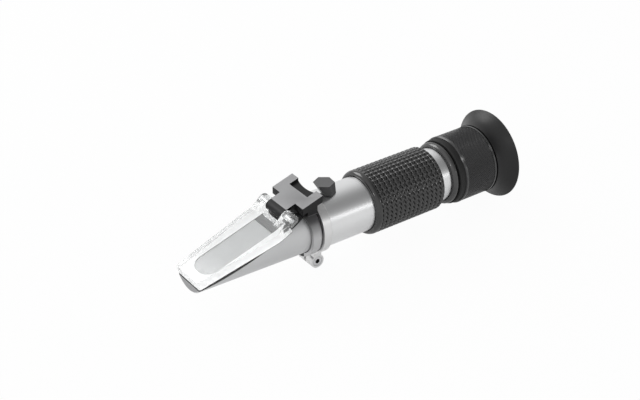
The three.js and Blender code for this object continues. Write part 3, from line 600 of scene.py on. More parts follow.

# %% [markdown]
# ## Finishes that change over a piece
# Several pieces carry more than one finish, or painted light and shade. The bracket is black,
# but its sloping top was ground bare, and its band is dark metal with painted shade at the top,
# under the block, and a painted reflection of the table low down. The housing is blasted metal,
# with painted shade on the seat round the prism, along the seat's edge and on its front face.
# The focus ring's nose is deep black, the cap has a painted highlight on top, the clamp screw
# has painted shade down in its socket, and the clear plate is dull at its sides and ears. Such
# pieces could be cut up and given a material for each part, but then they would fall apart into
# several meshes. Masks from place and direction tell one material where it is instead.

# %% Where on the piece: masks from place and direction
where_on_piece, taken, given = new_group(
    "where on the piece",
    [("Place", VECTOR, None), ("Facing", VECTOR, None), ("Level", VECTOR, None), ("Height", NUMBER, 0.0),
     ("Closeness", NUMBER, 0.96)],
    [("Faces it", NUMBER), ("Facing share", NUMBER), ("Above", NUMBER), ("Above and facing", NUMBER),
     ("On the band", NUMBER), ("Low on the band", NUMBER)],
)


def where(operation, first, second=None):
    """A Math node inside the group."""
    return math_node(where_on_piece, operation, first, second)


facing = dot_node(where_on_piece, taken["Facing"], taken["Level"])
faces_it = where("GREATER_THAN", facing, taken["Closeness"])
above = where("GREATER_THAN", dot_node(where_on_piece, taken["Place"], taken["Level"]), taken["Height"])
wire(where_on_piece, (faces_it, given["Faces it"]), (facing, given["Facing share"]), (above, given["Above"]),
     (where("MULTIPLY", above, faces_it), given["Above and facing"]))

# %% Where on the piece: the bracket's band, beside the nose that stands on it
BAND_REACH, BAND_ASIDE, BAND_MARGIN = 12.8, 5.5, 0.1
# Heights on the band: from painted shade at the top, under the block, down to a painted reflection of the
# table low on the band.
BAND_PAINTED_SHADE_FROM, BAND_PAINTED_REFLECTION_FROM = 8.0, -0.5
parts = new_node(where_on_piece, "SeparateXYZ")
wire(where_on_piece, (taken["Place"], parts.inputs[0]))
across, level = parts.outputs["Y"], where("SUBTRACT", parts.outputs["Z"], AXIS_HEIGHT)
squares = where("ADD", where("MULTIPLY", level, level), where("MULTIPLY", across, across))
near_axis = where("LESS_THAN", where("SQRT", squares), BAND_REACH * MM)
behind = where("GREATER_THAN", parts.outputs["X"], at(BAND_END + BAND_FLARE + BAND_MARGIN).x)
beside = where("GREATER_THAN", where("ABSOLUTE", across), BAND_ASIDE * MM)
around = where("MULTIPLY", where("MULTIPLY", near_axis, behind), beside)
low = new_node(where_on_piece, "MapRange", interpolation_type="SMOOTHSTEP")
low.inputs["From Min"].default_value = BAND_PAINTED_SHADE_FROM * MM
low.inputs["From Max"].default_value = BAND_PAINTED_REFLECTION_FROM * MM
wire(where_on_piece, (level, low.inputs["Value"]), (around, given["On the band"]),
     (where("MULTIPLY", around, low.outputs["Result"]), given["Low on the band"]))
print("nodes in", where_on_piece.name, len(where_on_piece.nodes))


# %% Using a mask
def masks(finish, height, level=OFF_SEAT, closeness=0.96):
    """The masks of one material, measured against a plane: at first the plane of the seat."""
    material, tree, shader, place = finish
    node = set_group(tree, where_on_piece, place, Height=height, Closeness=closeness)
    node.inputs["Level"].default_value = level
    turned_back = new_node(tree, "VectorTransform", vector_type="NORMAL",
                           convert_from="WORLD", convert_to="OBJECT")
    wire(tree, (new_node(tree, "NewGeometry").outputs["True Normal"], turned_back.inputs[0]),
         (turned_back.outputs[0], node.inputs["Facing"]))
    return node.outputs


def past(finish, comparison, station):
    """A mask that compares a piece's X with a station: LESS_THAN is the prism's side of it."""
    material, tree, shader, place = finish
    parts = new_node(tree, "SeparateXYZ")
    tree.links.new(place, parts.inputs[0])
    return math_node(tree, comparison, parts.outputs["X"], at(station).x)


def vary(finish, mask, colour=None, roughness=None, metallic=None):
    """Changes the colour, roughness or metal of a finish where the mask is one."""
    material, tree, shader, place = finish
    for label, value in (("Base Color", colour), ("Roughness", roughness), ("Metallic", metallic)):
        if value is None:
            continue
        socket = shader.inputs[label]
        kind, first, output = ("RGBA", 6, 2) if label == "Base Color" else ("FLOAT", 2, 0)
        blend = new_node(tree, "Mix", data_type=kind)
        tree.links.new(mask, blend.inputs[0])
        if socket.links:
            tree.links.new(socket.links[0].from_socket, blend.inputs[first])
        else:
            blend.inputs[first].default_value = socket.default_value
        blend.inputs[first + 1].default_value = (*value, 1) if kind == "RGBA" else value
        tree.links.new(blend.outputs[output], socket)


print("mask tools ready")

# %% Bracket and housing
TOP_SKIN, SEAT_SHADE_SKIN = 0.25, 0.35
TOP_LEVEL = at(BLOCK_END, 0, TOP_AT_END).dot(OFF_SEAT)
SEAT_LEVEL = at(HOUSING_FRONT, 0, -SEAT_DROP).dot(OFF_SEAT)
bracket_black = new_finish("black bracket", (0.012, 0.012, 0.0125), 0.45,
                           tone=(150, 0.3), grain=(5000, 0.8), bump=0.00001, Specular_IOR_Level=0.25)
bracket_masks = masks(bracket_black, TOP_LEVEL - TOP_SKIN * MM, closeness=0.994)
# The band is dark metal with painted shade towards the top, under the block, and is painted lighter low down
# as a reflection of the table.
vary(bracket_black, bracket_masks["On the band"], (0.13, 0.13, 0.132), 0.38, 1.0)
vary(bracket_black, bracket_masks["Low on the band"], (0.58, 0.58, 0.585), 0.40)
vary(bracket_black, bracket_masks["Above and facing"], (0.335, 0.335, 0.34), 0.45, 0.9)
housing_metal = new_finish("blasted aluminium", (0.66, 0.665, 0.67), 0.46, 0.85,
                           tone=(140, 0.08), grain=(5200, 1.0), bump=0.00002)
housing_shade_masks = masks(housing_metal, SEAT_LEVEL - SEAT_SHADE_SKIN * MM)
# Painted shade: the seat round the prism and a thin skin along the seat's edge are painted near-black, for
# the shade under the plate and the dark gap below it.
for painted_shade in ("Above", "Faces it"):
    vary(housing_metal, housing_shade_masks[painted_shade], (0.05, 0.05, 0.05), 0.5, 0.3)
# Painted shade: the housing's front face is painted a darker grey.
vary(housing_metal, masks(housing_metal, 0.0, -ALONG)["Faces it"], (0.40, 0.40, 0.405))
print("plane of the bracket's top", round(TOP_LEVEL / MM, 2), "mm, of the seat", round(SEAT_LEVEL / MM, 2))

# %% Focus ring's nose, cap's top and the clamp screw's socket
SOCKET_SHADE_SKIN = 0.12
vary(ring_black, past(ring_black, "LESS_THAN", RING_END), (0.004, 0.004, 0.004), 0.7)
# Painted highlight: the cap's upward faces are painted a lighter grey.
vary(cap_black, masks(cap_black, 0.0, UP)["Faces it"], (0.12, 0.12, 0.122))
socket_steel = new_finish("screw steel", (0.72, 0.72, 0.73), 0.28, 1.0,
                          tone=(400, 0.1), grain=(6000, 0.6), bump=0.00001)
# Painted shade: past a thin skin under the head's face, the screw is painted near-black, as shade down in its
# socket.
socket_shade_masks = masks(socket_steel, (SOCKET_SHADE_SKIN - LUG_HALF) * MM, ACROSS)
vary(socket_steel, socket_shade_masks["Above"], (0.02, 0.02, 0.02), 0.6, 0.0)
print("varied:", ring_black[0].name, "-", cap_black[0].name, "-", socket_steel[0].name)

# %% [markdown]
# ## Clear plastic and glass
# The lid is clear plastic with a frosted film under it, and the lenses are coated glass. Clear
# things would cast shadows as dark as solid ones in a short render, so most of the light passes
# straight through to what lies below. The prism would show only the dark inside of the housing
# if it were clear, and in daylight it looks milky, so it is a smooth grey solid.

# %% Clear plastic and glass
def see_through(finish, shadow_share):
    """Lets most of the light through to what lies below, so that glass casts no solid shadow."""
    material, tree, shader, place = finish
    ray = new_node(tree, "LightPath").outputs
    dimmed = math_node(tree, "MULTIPLY", ray["Is Shadow Ray"], -shadow_share)
    tree.links.new(math_node(tree, "ADD", dimmed, 1.0), shader.inputs["Alpha"])
    return finish


EARS_FROM, FLAT_SHARE = PIN_STATION + 5.0, 0.5
plate_clear = see_through(new_finish(
    "clear plate plastic", (0.97, 0.98, 0.98), 0.09, tone=(80, 0.02), grain=(300, 0.2),
    bump=0.000004, drift_roughness=1.0, Transmission_Weight=0.94, IOR=1.49), 0.9)
plate_sides = math_node(plate_clear[1], "LESS_THAN", masks(plate_clear, 0.0)["Facing share"], FLAT_SHARE)
vary(plate_clear, plate_sides, roughness=0.5)
vary(plate_clear, past(plate_clear, "GREATER_THAN", EARS_FROM), roughness=0.24)
# The film glows faintly through its emission: painted light that brightens the frosting.
plate_frost = new_finish("frosted film", (0.95, 0.95, 0.95), 0.55, tone=(300, 0.05), grain=(5000, 1.0),
                         bump=0.00001, Emission_Color=(1, 1, 1, 1), Emission_Strength=0.06)
# Painted shade: the film's thin sides are painted near-black, for the shaded gap under the plate's edges.
film_flatness = math_node(plate_frost[1], "ABSOLUTE", masks(plate_frost, 0.0)["Facing share"])
vary(plate_frost, math_node(plate_frost[1], "LESS_THAN", film_flatness, FLAT_SHARE), (0.03, 0.03, 0.03))
prism_glass = new_finish("prism glass", (0.46, 0.462, 0.465), 0.16, tone=(60, 0.05),
                         grain=(200, 0.2), bump=0.000003)
lens_glass = see_through(new_finish(
    "coated lens glass", (0.90, 0.95, 0.97), 0.02, tone=(60, 0.02), grain=(200, 0.1),
    bump=0.000002, Transmission_Weight=1.0, IOR=1.52), 0.9)
print("finishes:", len(bpy.data.materials))


# %% [markdown]
# ## Handing a piece over
# A finished piece gets its material, takes the place of its CAD solid and rides on the same
# body, so that it moves when the joints move.

# %% Handing over
def finish_piece(piece, finish, body, slot, *nodes):
    """Gives the piece its material and body, in place of the CAD nodes. The slot is not used."""
    piece.data.materials.clear()
    piece.data.materials.append(finish[0])
    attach(piece, body)
    if nodes:
        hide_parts(*nodes)
    print(piece.name, len(piece.data.polygons), "faces,", [round(v / MM, 2) for v in piece.dimensions])


# %% [markdown]
# ## Eyecup
# The eyecup is a soft black trumpet that keeps stray light off the eye. A cone with a Solidify
# modifier would give it an even wall, but a moulded one is thicker at the base. So it is turned
# from one closed section: the outside curve, the base, the floor and the inside curve. Its rim
# is rounded, because a moulded lip has no sharp edge.

# %% Eyecup
CUP_RIM, CUP_BASE, CUP_FLARE, CUP_WALL, CUP_BORE = 20.0, 15.3, 2.0, 1.0, 13.7


def trumpet(share):
    """Radius of the eyecup's outside at a share of its length."""
    return CUP_BASE + (CUP_RIM - CUP_BASE) * (1 - share) ** CUP_FLARE


curve = [i / 20 for i in range(21)]
outside = [(EYECUP_LENGTH * s, trumpet(s)) for s in curve]
inside = [(EYECUP_DEPTH * s, trumpet(s * EYECUP_DEPTH / EYECUP_LENGTH) - CUP_WALL * (1 + s)) for s in curve]
eyecup = turned("eyecup_cup", outside + [(EYECUP_LENGTH, CUP_BORE), (EYECUP_DEPTH, CUP_BORE)] + inside[::-1],
                steps=180)
soften(eyecup, 0.3, segments=3, sharper_than=40)
finish_piece(eyecup, eyecup_rubber, "eyepiece", "eyecup_rubber", "eyecup")

# %% [markdown]
# ## Focus ring
# The ring is one turned piece with a very fine diamond knurl. A bump could fake the knurl, but
# it would be missing from the mesh, so it is real. The section is drawn with a point at every
# row of the knurl. After spinning, the faces of the band are poked to find their middles, the
# old grid lines are dissolved so that diamonds are left, and each diamond is poked again, this
# time outwards, into a small pyramid.

# %% Focus ring section
RING_RADIUS, KNURL_DEPTH, LAND, CHAMFER = 15.1, 0.3, 1.2, 0.4
NOSE_RADIUS, NECK_RADIUS, NECK_BORE, SHELF_START, SHELF_END = 14.5, 13.4, 12.3, 9.4, 11.1
KNURL_ROWS, KNURL_COLUMNS = 17, 104
knurl_start, knurl_end = RING_START + LAND, RING_END - LAND
root = RING_RADIUS - KNURL_DEPTH
rows = [(knurl_start + (knurl_end - knurl_start) * i / KNURL_ROWS, root) for i in range(KNURL_ROWS + 1)]
ring = turned("focus_ring_knurled", [
    (NECK_START, NECK_BORE), (NECK_START, NECK_RADIUS), (RING_START, NECK_RADIUS),
    (RING_START, RING_RADIUS - CHAMFER), (RING_START + CHAMFER, RING_RADIUS), (knurl_start, RING_RADIUS),
    *rows,
    (knurl_end, RING_RADIUS), (RING_END - CHAMFER, RING_RADIUS), (RING_END, RING_RADIUS - CHAMFER),
    (RING_END, NOSE_RADIUS), (NOSE_END - CHAMFER, NOSE_RADIUS), (NOSE_END, NOSE_RADIUS - CHAMFER),
    (NOSE_END, SLEEVE_BORE), (SHELF_END, SLEEVE_BORE), (SHELF_END, TUBE_BORE),
    (SHELF_START, TUBE_BORE), (SHELF_START, NECK_BORE),
], steps=KNURL_COLUMNS)

# %% Focus ring knurl
SLACK = 0.1


def on_knurl(centre, normal):
    """True for a face of the band that the knurl covers."""
    inside_band = knurl_start < station_of(centre) < knurl_end
    return inside_band and abs(radius_of(centre) - root) < SLACK and abs(normal.x) < 0.5


def on_grid(a, b):
    """True for an edge of the first grid, but not for the two rims of the band."""
    if any(abs(radius_of(spot) - root) > SLACK for spot in (a, b)):
        return False
    low, high = sorted((station_of(a), station_of(b)))
    if low < knurl_start - SLACK or high > knurl_end + SLACK:
        return False
    along_axis = high - low > 0.9 * (knurl_end - knurl_start) / KNURL_ROWS
    round_axis = high - low < SLACK / 2 and knurl_start + SLACK < low < knurl_end - SLACK
    return along_axis or round_axis


bpy.ops.object.mode_set(mode="EDIT")
print("knurl faces", choose_faces(ring, on_knurl))
bpy.ops.mesh.poke(offset=0)
print("grid lines", choose_edges(ring, on_grid))
bpy.ops.mesh.dissolve_edges(use_verts=False)
print("diamonds", choose_faces(ring, on_knurl))
bpy.ops.mesh.poke(offset=KNURL_DEPTH * MM * 0.9)
bpy.ops.object.mode_set(mode="OBJECT")
bpy.ops.object.shade_smooth_by_angle(angle=math.radians(20))
finish_piece(ring, ring_black, "eyepiece", "black_anodised", "focus_ring")

# %% [markdown]
# ## Wiper ring
# A soft ring at the front of the focus ring keeps dirt out of the sliding joint. A torus would
# be too round. The real section is a low dome, so it is drawn point by point and turned, and
# one broad highlight runs round it.

# %% Wiper ring
dome_points = [(WIPER_START, 12.6), (28.6, 13.2), (28.85, 13.6), (29.25, 13.85), (29.7, 13.9),
               (30.1, 13.82), (30.6, 13.6), (30.95, 13.25), (31.22, 12.9), (WIPER_END, 12.55)]
wiper = turned("wiper_ring_dome", [(WIPER_START, SLEEVE_BORE), *dome_points, (WIPER_END, SLEEVE_BORE)])
soften(wiper, 0.08, sharper_than=45)
finish_piece(wiper, wiper_rubber, "eyepiece", "eyecup_rubber", "wiper_ring")

# %% [markdown]
# ## Body tube
# The tube is drawn aluminium with a satin finish. It could be a cylinder with a Solidify
# modifier, but a turned section sets its radius and its bore at once. Two small holes in its
# wall take the screws of the calibration and of the bimetal strip, and a third holds the guide
# pin. They are cut by round bars.

# %% Body tube
STRIP_SCREW_STATION, GUIDE_PIN_STATION = 62.6, 18.1
UNDER_WALL, OVER_WALL = 9, 13


def over_screw(height, aside=0.0):
    """A place on the calibration screw's axis, or beside it."""
    return at(SCREW_STATION, SCREW_ACROSS + aside, height)


tube = turned("main_tube_satin", [(TUBE_START, TUBE_BORE), (TUBE_START, TUBE_RADIUS),
                                  (COLLAR_END, TUBE_RADIUS), (COLLAR_END, TUBE_BORE)], steps=192)
carve(tube,
      bar("hole", over_screw(UNDER_WALL), over_screw(OVER_WALL), 1.4),
      bar("hole", at(STRIP_SCREW_STATION, 0, -OVER_WALL), at(STRIP_SCREW_STATION, 0, -UNDER_WALL), 1.1),
      bar("hole", at(GUIDE_PIN_STATION, 0, UNDER_WALL), at(GUIDE_PIN_STATION, 0, OVER_WALL), 1.1))
soften(tube, 0.15, sharper_than=40)
finish_piece(tube, tube_metal, "body", "satin_aluminium", "main_tube")

# %% [markdown]
# ## Rubber grip
# The grip is a moulded sleeve: rounded ribs run round it, shallower grooves cut them into
# square pads, and a smooth bead ends it at the front. Hundreds of copied pads would be loose
# solids on a sleeve, while the real grip is one skin. So the ribs are drawn in the section, and
# the spin has five steps to a pad. Every fifth step is pushed inwards to make a groove.

# %% Grip sleeve
PAD_ROWS, PAD_COLUMNS, PAD_STEPS, PAD_HEIGHT, PAD_GROOVE = 14, 39, 5, 0.8, 0.42
GROOVE_DEPTH, GROOVE_FROM, BEAD_START, BEAD_FOOT = 0.38, 0.35, 69.8, 12.55
pitch = (BEAD_START - GRIP_START) / PAD_ROWS
floor_radius = GRIP_RADIUS - PAD_HEIGHT
rib = [(0.0, 0.0), (0.06, 0.34), (0.22, 0.58), (0.46, 0.73), (0.74, 0.79)]
section = []
for row in range(PAD_ROWS):
    back = GRIP_START + pitch * row + PAD_GROOVE / 2
    front = back + pitch - PAD_GROOVE
    section += [(back + run, floor_radius + rise) for run, rise in rib]
    section.append(((back + front) / 2, GRIP_RADIUS))
    section += [(front - run, floor_radius + rise) for run, rise in rib[::-1]]
section[0] = (GRIP_START, floor_radius)
bead_flat = BEAD_START + 0.6
section += [(BEAD_START + 0.05, floor_radius), (BEAD_START + 0.15, GRIP_RADIUS - 0.2),
            (BEAD_START + 0.4, GRIP_RADIUS - 0.03)]
for i in range(15):
    turn = math.pi / 2 * i / 14
    section.append((bead_flat + (GRIP_END - bead_flat) * math.sin(turn),
                    GRIP_RADIUS - (GRIP_RADIUS - BEAD_FOOT) * (1 - math.cos(turn))))
grip = turned("rubber_grip_padded", [(GRIP_START, SLEEVE_BORE), *section, (GRIP_END, SLEEVE_BORE)],
              steps=PAD_COLUMNS * PAD_STEPS)
print("pads", PAD_ROWS, "x", PAD_COLUMNS, "pitch", round(pitch, 2), "mm")

# %% Grip pads
def in_groove(centre, normal):
    """True for a face on the ribs at every fifth step of the spin."""
    if station_of(centre) > BEAD_START or radius_of(centre) < floor_radius + GROOVE_FROM:
        return False
    turn = math.atan2(centre.z - AXIS_HEIGHT, centre.y) / FULL_TURN
    return (turn * PAD_COLUMNS * PAD_STEPS) % PAD_STEPS < 1


bpy.ops.object.mode_set(mode="EDIT")
print("groove faces", choose_faces(grip, in_groove))
bpy.ops.transform.shrink_fatten(value=-GROOVE_DEPTH * MM)
bpy.ops.object.mode_set(mode="OBJECT")
bpy.ops.object.shade_smooth_by_angle(angle=math.radians(50))
finish_piece(grip, grip_rubber, "body", "grip_rubber", "rubber_grip")

# %% [markdown]
# ## Clamp collar
# A split ring clamps the prism end on the tube. A round lug hangs under it with the clamp screw
# across it, and a saw cut through the lug lets the ring close. It could be drawn as one
# outline, but the lug runs across the ring. So the lug and its neck are welded to the ring, and
# the cuts come last, in the order of the workshop.

# %% Clamp collar
NECK_FRONT, NECK_HEIGHT, COLLAR_EDGE, COLLAR_INSIDE = 98.8, 6.5, 0.5, 12.4
REST_DROP, CUT_HALF, HEAD_FLOOR, HEAD_SEAT, SCREW_HOLE = -20, 0.7, -2.9, 2.2, 1.3


def in_lug(across):
    """A place on the clamp screw's own axis."""
    return at(LUG_STATION, across, LUG_DROP)


collar = turned("clamp_collar_ring", [
    (COLLAR_START, SLEEVE_BORE), (COLLAR_START, COLLAR_RADIUS - COLLAR_EDGE),
    (COLLAR_START + COLLAR_EDGE, COLLAR_RADIUS), (COLLAR_END, COLLAR_RADIUS), (COLLAR_END, SLEEVE_BORE)])
neck = brick("neck", (COLLAR_START, NECK_FRONT), (-LUG_HALF, LUG_HALF), (LUG_DROP, LUG_DROP + NECK_HEIGHT))
weld(neck, bar("barrel", in_lug(-LUG_HALF), in_lug(LUG_HALF), LUG_RADIUS, 64))
carve(neck, plug("inside", 92, 102, COLLAR_INSIDE))
weld(collar, neck)
carve(collar,
      brick("foot", (92, 102), (-7, 7), (REST_DROP, REST_DROP - 3)),
      brick("saw cut", (93, 101), (-CUT_HALF, CUT_HALF), (-10, -24)),
      bar("head seat", in_lug(-6), in_lug(HEAD_FLOOR), HEAD_SEAT),
      bar("screw hole", in_lug(-4), in_lug(6), SCREW_HOLE))
soften(collar, 0.18, segments=3, sharper_than=35)
finish_piece(collar, collar_metal, "body", "satin_aluminium", "clamp_collar")

# %% [markdown]
# ## Clamp screw
# A small socket screw closes the collar, and its head shows on one side of the lug. It is a
# short bar with a thinner shank welded on and a six-sided hole. The thread can't be seen from
# outside, so the shank is plain.

# %% Clamp screw
HEAD_HEIGHT, SOCKET_DEPTH, HEAD_RADIUS, SOCKET_RADIUS = 1.6, 1.3, 2.1, 1.15
clamp_screw = bar("clamp_screw_socket", in_lug(-LUG_HALF), in_lug(-LUG_HALF + HEAD_HEIGHT), HEAD_RADIUS)
weld(clamp_screw, bar("shank", in_lug(-LUG_HALF + SOCKET_DEPTH), in_lug(4.5), 1.0, 32))
carve(clamp_screw, bar("socket", in_lug(-LUG_HALF - 1), in_lug(-LUG_HALF + SOCKET_DEPTH), SOCKET_RADIUS, 6))
soften(clamp_screw, 0.1)
finish_piece(clamp_screw, socket_steel, "body", "steel", "clamp_screw")

# %% [markdown]
# ## Prism housing
# The nose is turned from solid aluminium and then cut along a slanted plane, so its front shows
# a crescent and its top a long flat seat. Drawing the slanted form directly would be hard, but
# turning and cutting it, as on a machine, gives it exactly. The wedge that is cut away is drawn
# from the side. A pocket in the seat holds the prism and has the prism's own rounded outline.

# %% The slanted seat
PRISM_FRONT, PRISM_BACK, PRISM_HALF, PRISM_ROUND = 5.0, 38.0, 6.7, 5.6
PRISM_DEPTH, PRISM_WALL = 24, 8.35
SEAT_FRONT = at(HOUSING_FRONT, 0, -SEAT_DROP)
UP_SLOPE = Vector((math.cos(SLOPE), 0, math.sin(SLOPE)))


def on_seat(back, across, lift=0.0):
    """A place on the seat: a distance back from its front edge, across, and off it."""
    return SEAT_FRONT + (UP_SLOPE * back + ACROSS * across + OFF_SEAT * lift) * MM


def seat_height(station):
    """Height of the seat above the optical axis at a station."""
    return (HOUSING_FRONT - station) * math.tan(SLOPE) - SEAT_DROP


def front_corners(front, half, radius, steps):
    """Two rounded front corners on the seat, as distances back and across."""
    corners = []
    for side in (1, -1):
        for i in range(steps + 1):
            turn = math.pi / 2 * (i / steps if side > 0 else 1 - i / steps)
            corners.append((front + radius * (1 - math.sin(turn)),
                            side * (half - radius + radius * math.cos(turn))))
    return corners


def prism_outline(margin, lift):
    """The prism's outline on the seat, with a rounded front, grown by a margin."""
    half, back = PRISM_HALF + margin, PRISM_BACK + margin
    points = [(back, -half), (back, half)]
    points += front_corners(PRISM_FRONT - margin, half, PRISM_ROUND + margin, 12)
    return [on_seat(b, a, lift) for b, a in points]


def prism_wedge(name, margin, lift):
    """What the prism fills: its outline pulled down square to the seat, inside a round wall."""
    wedge = slab(name, prism_outline(margin, lift), -OFF_SEAT * PRISM_DEPTH * MM)
    return combine(wedge, plug("round wall", 100, HOUSING_FRONT, PRISM_WALL + margin), "INTERSECT")


print("seat rises from", -SEAT_DROP, "to", round(seat_height(SEAT_START), 2), "mm")

# %% Prism housing
SPIGOT_START, SPIGOT_RADIUS, TAPER_START, FRONT_EDGE = 94.2, 10.3, 109.35, 0.5
HOLLOW_END, HOLLOW_RADIUS, LIGHT_PATH_END, LIGHT_PATH_RADIUS = 107.55, 8.0, 118.55, 4.2
housing = turned("prism_housing_nose", [
    (LIGHT_PATH_END, 0), (LIGHT_PATH_END, LIGHT_PATH_RADIUS), (HOLLOW_END, LIGHT_PATH_RADIUS),
    (HOLLOW_END, HOLLOW_RADIUS), (SPIGOT_START, HOLLOW_RADIUS), (SPIGOT_START, SPIGOT_RADIUS),
    (HOUSING_START, SPIGOT_RADIUS), (HOUSING_START, HOUSING_RADIUS), (TAPER_START, HOUSING_RADIUS),
    (HOUSING_FRONT - FRONT_EDGE, HOUSING_NOSE), (HOUSING_FRONT, HOUSING_NOSE - FRONT_EDGE),
    (HOUSING_FRONT, 0)], steps=192, closed=False)
top, beyond = HOUSING_RADIUS + 2, 160
waste = slab("waste", [at(SEAT_START, -top, seat_height(SEAT_START)), at(beyond, -top, seat_height(beyond)),
                       at(beyond, -top, top), at(SEAT_START, -top, top)], ACROSS * top * 2 * MM)
carve(housing, waste, prism_wedge("pocket", GAP, 1.0))
soften(housing, 0.12, sharper_than=35)
finish_piece(housing, housing_metal, "body", "housing_aluminium", "prism_housing")

# %% [markdown]
# ## Measuring prism
# The prism is the grey window under the lid, on which the drop of coolant is laid. It could be
# a separate drawing, but it has to fit its pocket all round, so the function that drew the
# pocket draws it too, without the gap.

# %% Measuring prism
prism = soften(prism_wedge("measuring_prism_glass", 0.0, 0.0), 0.15)
finish_piece(prism, prism_glass, "body", "prism_glass", "measuring_prism")

# %% [markdown]
# ## Hinge bracket
# The bracket is a black block on a band round the housing. Its plan has two arms at the back, a
# wide middle and a narrow nose that carries the hinge pin. The plan is pulled upwards and kept
# only where it lies between two planes that slope like the seat. The band is turned, its front
# edge is cut to a curve that reaches forwards at the top, and all parts are welded into one.

# %% Bracket block
BLOCK_START, ARM_END, BLOCK_LOW, BLOCK_HEIGHT = 98.6, 108.4, 9, 12
BLOCK_HALF, NOTCH_HALF, NOSE_HALF, NOTCH_END = 10.7, 6.3, 5.4, 103.1
ARM_THICKNESS, NOTCH_DEPTH, SCOOP = 3.1, 1.2, 20.0
BEFORE_BLOCK, PAST_BLOCK, WIDE = 97, 114, 13


def block_top(station):
    """Height of the bracket's sloping top at a station."""
    return TOP_AT_END + (BLOCK_END - station) * math.tan(SLOPE)


plan = [(BLOCK_START, BLOCK_HALF), (ARM_END, BLOCK_HALF), (ARM_END, NOSE_HALF), (BLOCK_END, NOSE_HALF)]
plan += [(station, -across) for station, across in plan[::-1]]
block = slab("hinge_bracket_block", [at(station, across, BLOCK_LOW) for station, across in plan],
             UP * BLOCK_HEIGHT * MM)
side = [(BEFORE_BLOCK, 0), (PAST_BLOCK, 0), (PAST_BLOCK, -ARM_THICKNESS), (BEFORE_BLOCK, -ARM_THICKNESS)]
combine(block, slab("slope", [at(s, -WIDE, block_top(s) + rise) for s, rise in side], ACROSS * 2 * WIDE * MM),
        "INTERSECT")
print("top slopes from", round(block_top(BLOCK_START), 2), "to", TOP_AT_END, "mm")

# %% Bracket nose
KNUCKLE = 2.3


def on_pin(across):
    """A place on the hinge pin's axis."""
    return at(PIN_STATION, across, PIN_HEIGHT)


def tangent_angle(radius, point, turn_side):
    """Where a line from a point touches a circle round the hinge pin."""
    reach = Vector((-point[0], point[1])) - Vector((-PIN_STATION, PIN_HEIGHT))
    return math.atan2(reach.y, reach.x) % FULL_TURN + turn_side * math.acos(radius / reach.length)


def arc_round_pin(radius, first, last, steps):
    """Stations and heights on an arc round the hinge pin."""
    turns = [first + (last - first) * i / steps for i in range(steps + 1)]
    return [(PIN_STATION - radius * math.cos(turn), PIN_HEIGHT + radius * math.sin(turn)) for turn in turns]


heel_height = HOUSING_RADIUS + GAP
nose_points = [(SEAT_START, heel_height), (NOTCH_END, heel_height), (NOTCH_END, block_top(NOTCH_END)),
               (BLOCK_END, block_top(BLOCK_END))]
nose_points += arc_round_pin(KNUCKLE, tangent_angle(KNUCKLE, nose_points[-1], 1),
                             tangent_angle(KNUCKLE, nose_points[0], -1), 16)
nose = slab("nose", [at(s, -NOSE_HALF, h) for s, h in nose_points], ACROSS * NOSE_HALF * 2 * MM)
print("nose points", len(nose_points))

# %% Bracket cheeks and band
CHEEK_INNER, CHEEK_OUTER, CHEEK_LOW = 6.3, 8.4, 9.4
BAND_BORE, BELOW, AHEAD = 11.1, 15, 112
FLARE_CURVE = [(0.0, 4.2), (0.5, 6.6), (1.3, 8.7), (1.85, 10.5), (2.0, 15)]
cheek_top = block_top(BAND_END) - ARM_THICKNESS + GAP
cheeks = [
    brick("cheek", (BAND_START, BAND_END), (side * CHEEK_INNER, side * CHEEK_OUTER), (CHEEK_LOW, cheek_top))
    for side in (1, -1)]
band_front = BAND_END + BAND_FLARE
band = turned("band", [
    (BAND_START, BAND_BORE), (BAND_START, BAND_RADIUS - 0.8), (BAND_START + 0.5, BAND_RADIUS - 0.3),
    (BAND_START + 1.3, BAND_RADIUS), (band_front, BAND_RADIUS), (band_front, BAND_BORE)])
flare = [(BAND_END, -BELOW), *((BAND_END + run, height) for run, height in FLARE_CURVE), (AHEAD, BELOW),
         (AHEAD, -BELOW)]
carve(band, slab("front of the band", [at(s, -BELOW, h) for s, h in flare], ACROSS * 2 * BELOW * MM))
print("band", round(band_front - BAND_START, 2), "mm wide at the top")

# %% Bracket welded and cut
weld(block, nose, *cheeks, band)
scoop_station = BLOCK_START - math.sqrt(SCOOP ** 2 - NOTCH_HALF ** 2)
notch = [(BEFORE_BLOCK, 1), (NOTCH_END, 1), (NOTCH_END, -NOTCH_DEPTH), (BEFORE_BLOCK, -NOTCH_DEPTH)]
carve(block,
      plug("housing room", 96, SEAT_START, BAND_BORE),
      slab("notch", [at(s, -NOTCH_HALF, block_top(s) + rise) for s, rise in notch],
           ACROSS * NOTCH_HALF * 2 * MM),
      bar("scoop", at(scoop_station, 0, BAND_RADIUS + GAP), at(scoop_station, 0, 22), SCOOP, 144),
      bar("pin hole", on_pin(-12), on_pin(12), PIN_HOLE),
      bar("grub hole", at(GRUB_STATION, 0, -14), at(GRUB_STATION, 0, -10), 1.2))
soften(block, 0.22, segments=2, sharper_than=38)
finish_piece(block, bracket_black, "body", "bracket_black", "hinge_bracket")

# %% [markdown]
# ## Grub screw and hinge pin
# Two small steel parts hold the bracket and the lid: a grub screw under the band and a pin
# through the nose that reaches into both ears. Both are round bars with softened ends, and the
# grub screw has a six-sided socket for its key.

# %% Grub screw under the band
grub = bar("bracket_set_screw_socket", at(GRUB_STATION, 0, -BAND_RADIUS), at(GRUB_STATION, 0, -BAND_BORE),
           0.9, 32)
carve(grub, bar("socket", at(GRUB_STATION, 0, -14), at(GRUB_STATION, 0, -BAND_RADIUS + 0.45), 0.45, 6))
soften(grub, 0.06)
finish_piece(grub, steel, "body", "steel", "bracket_set_screw")

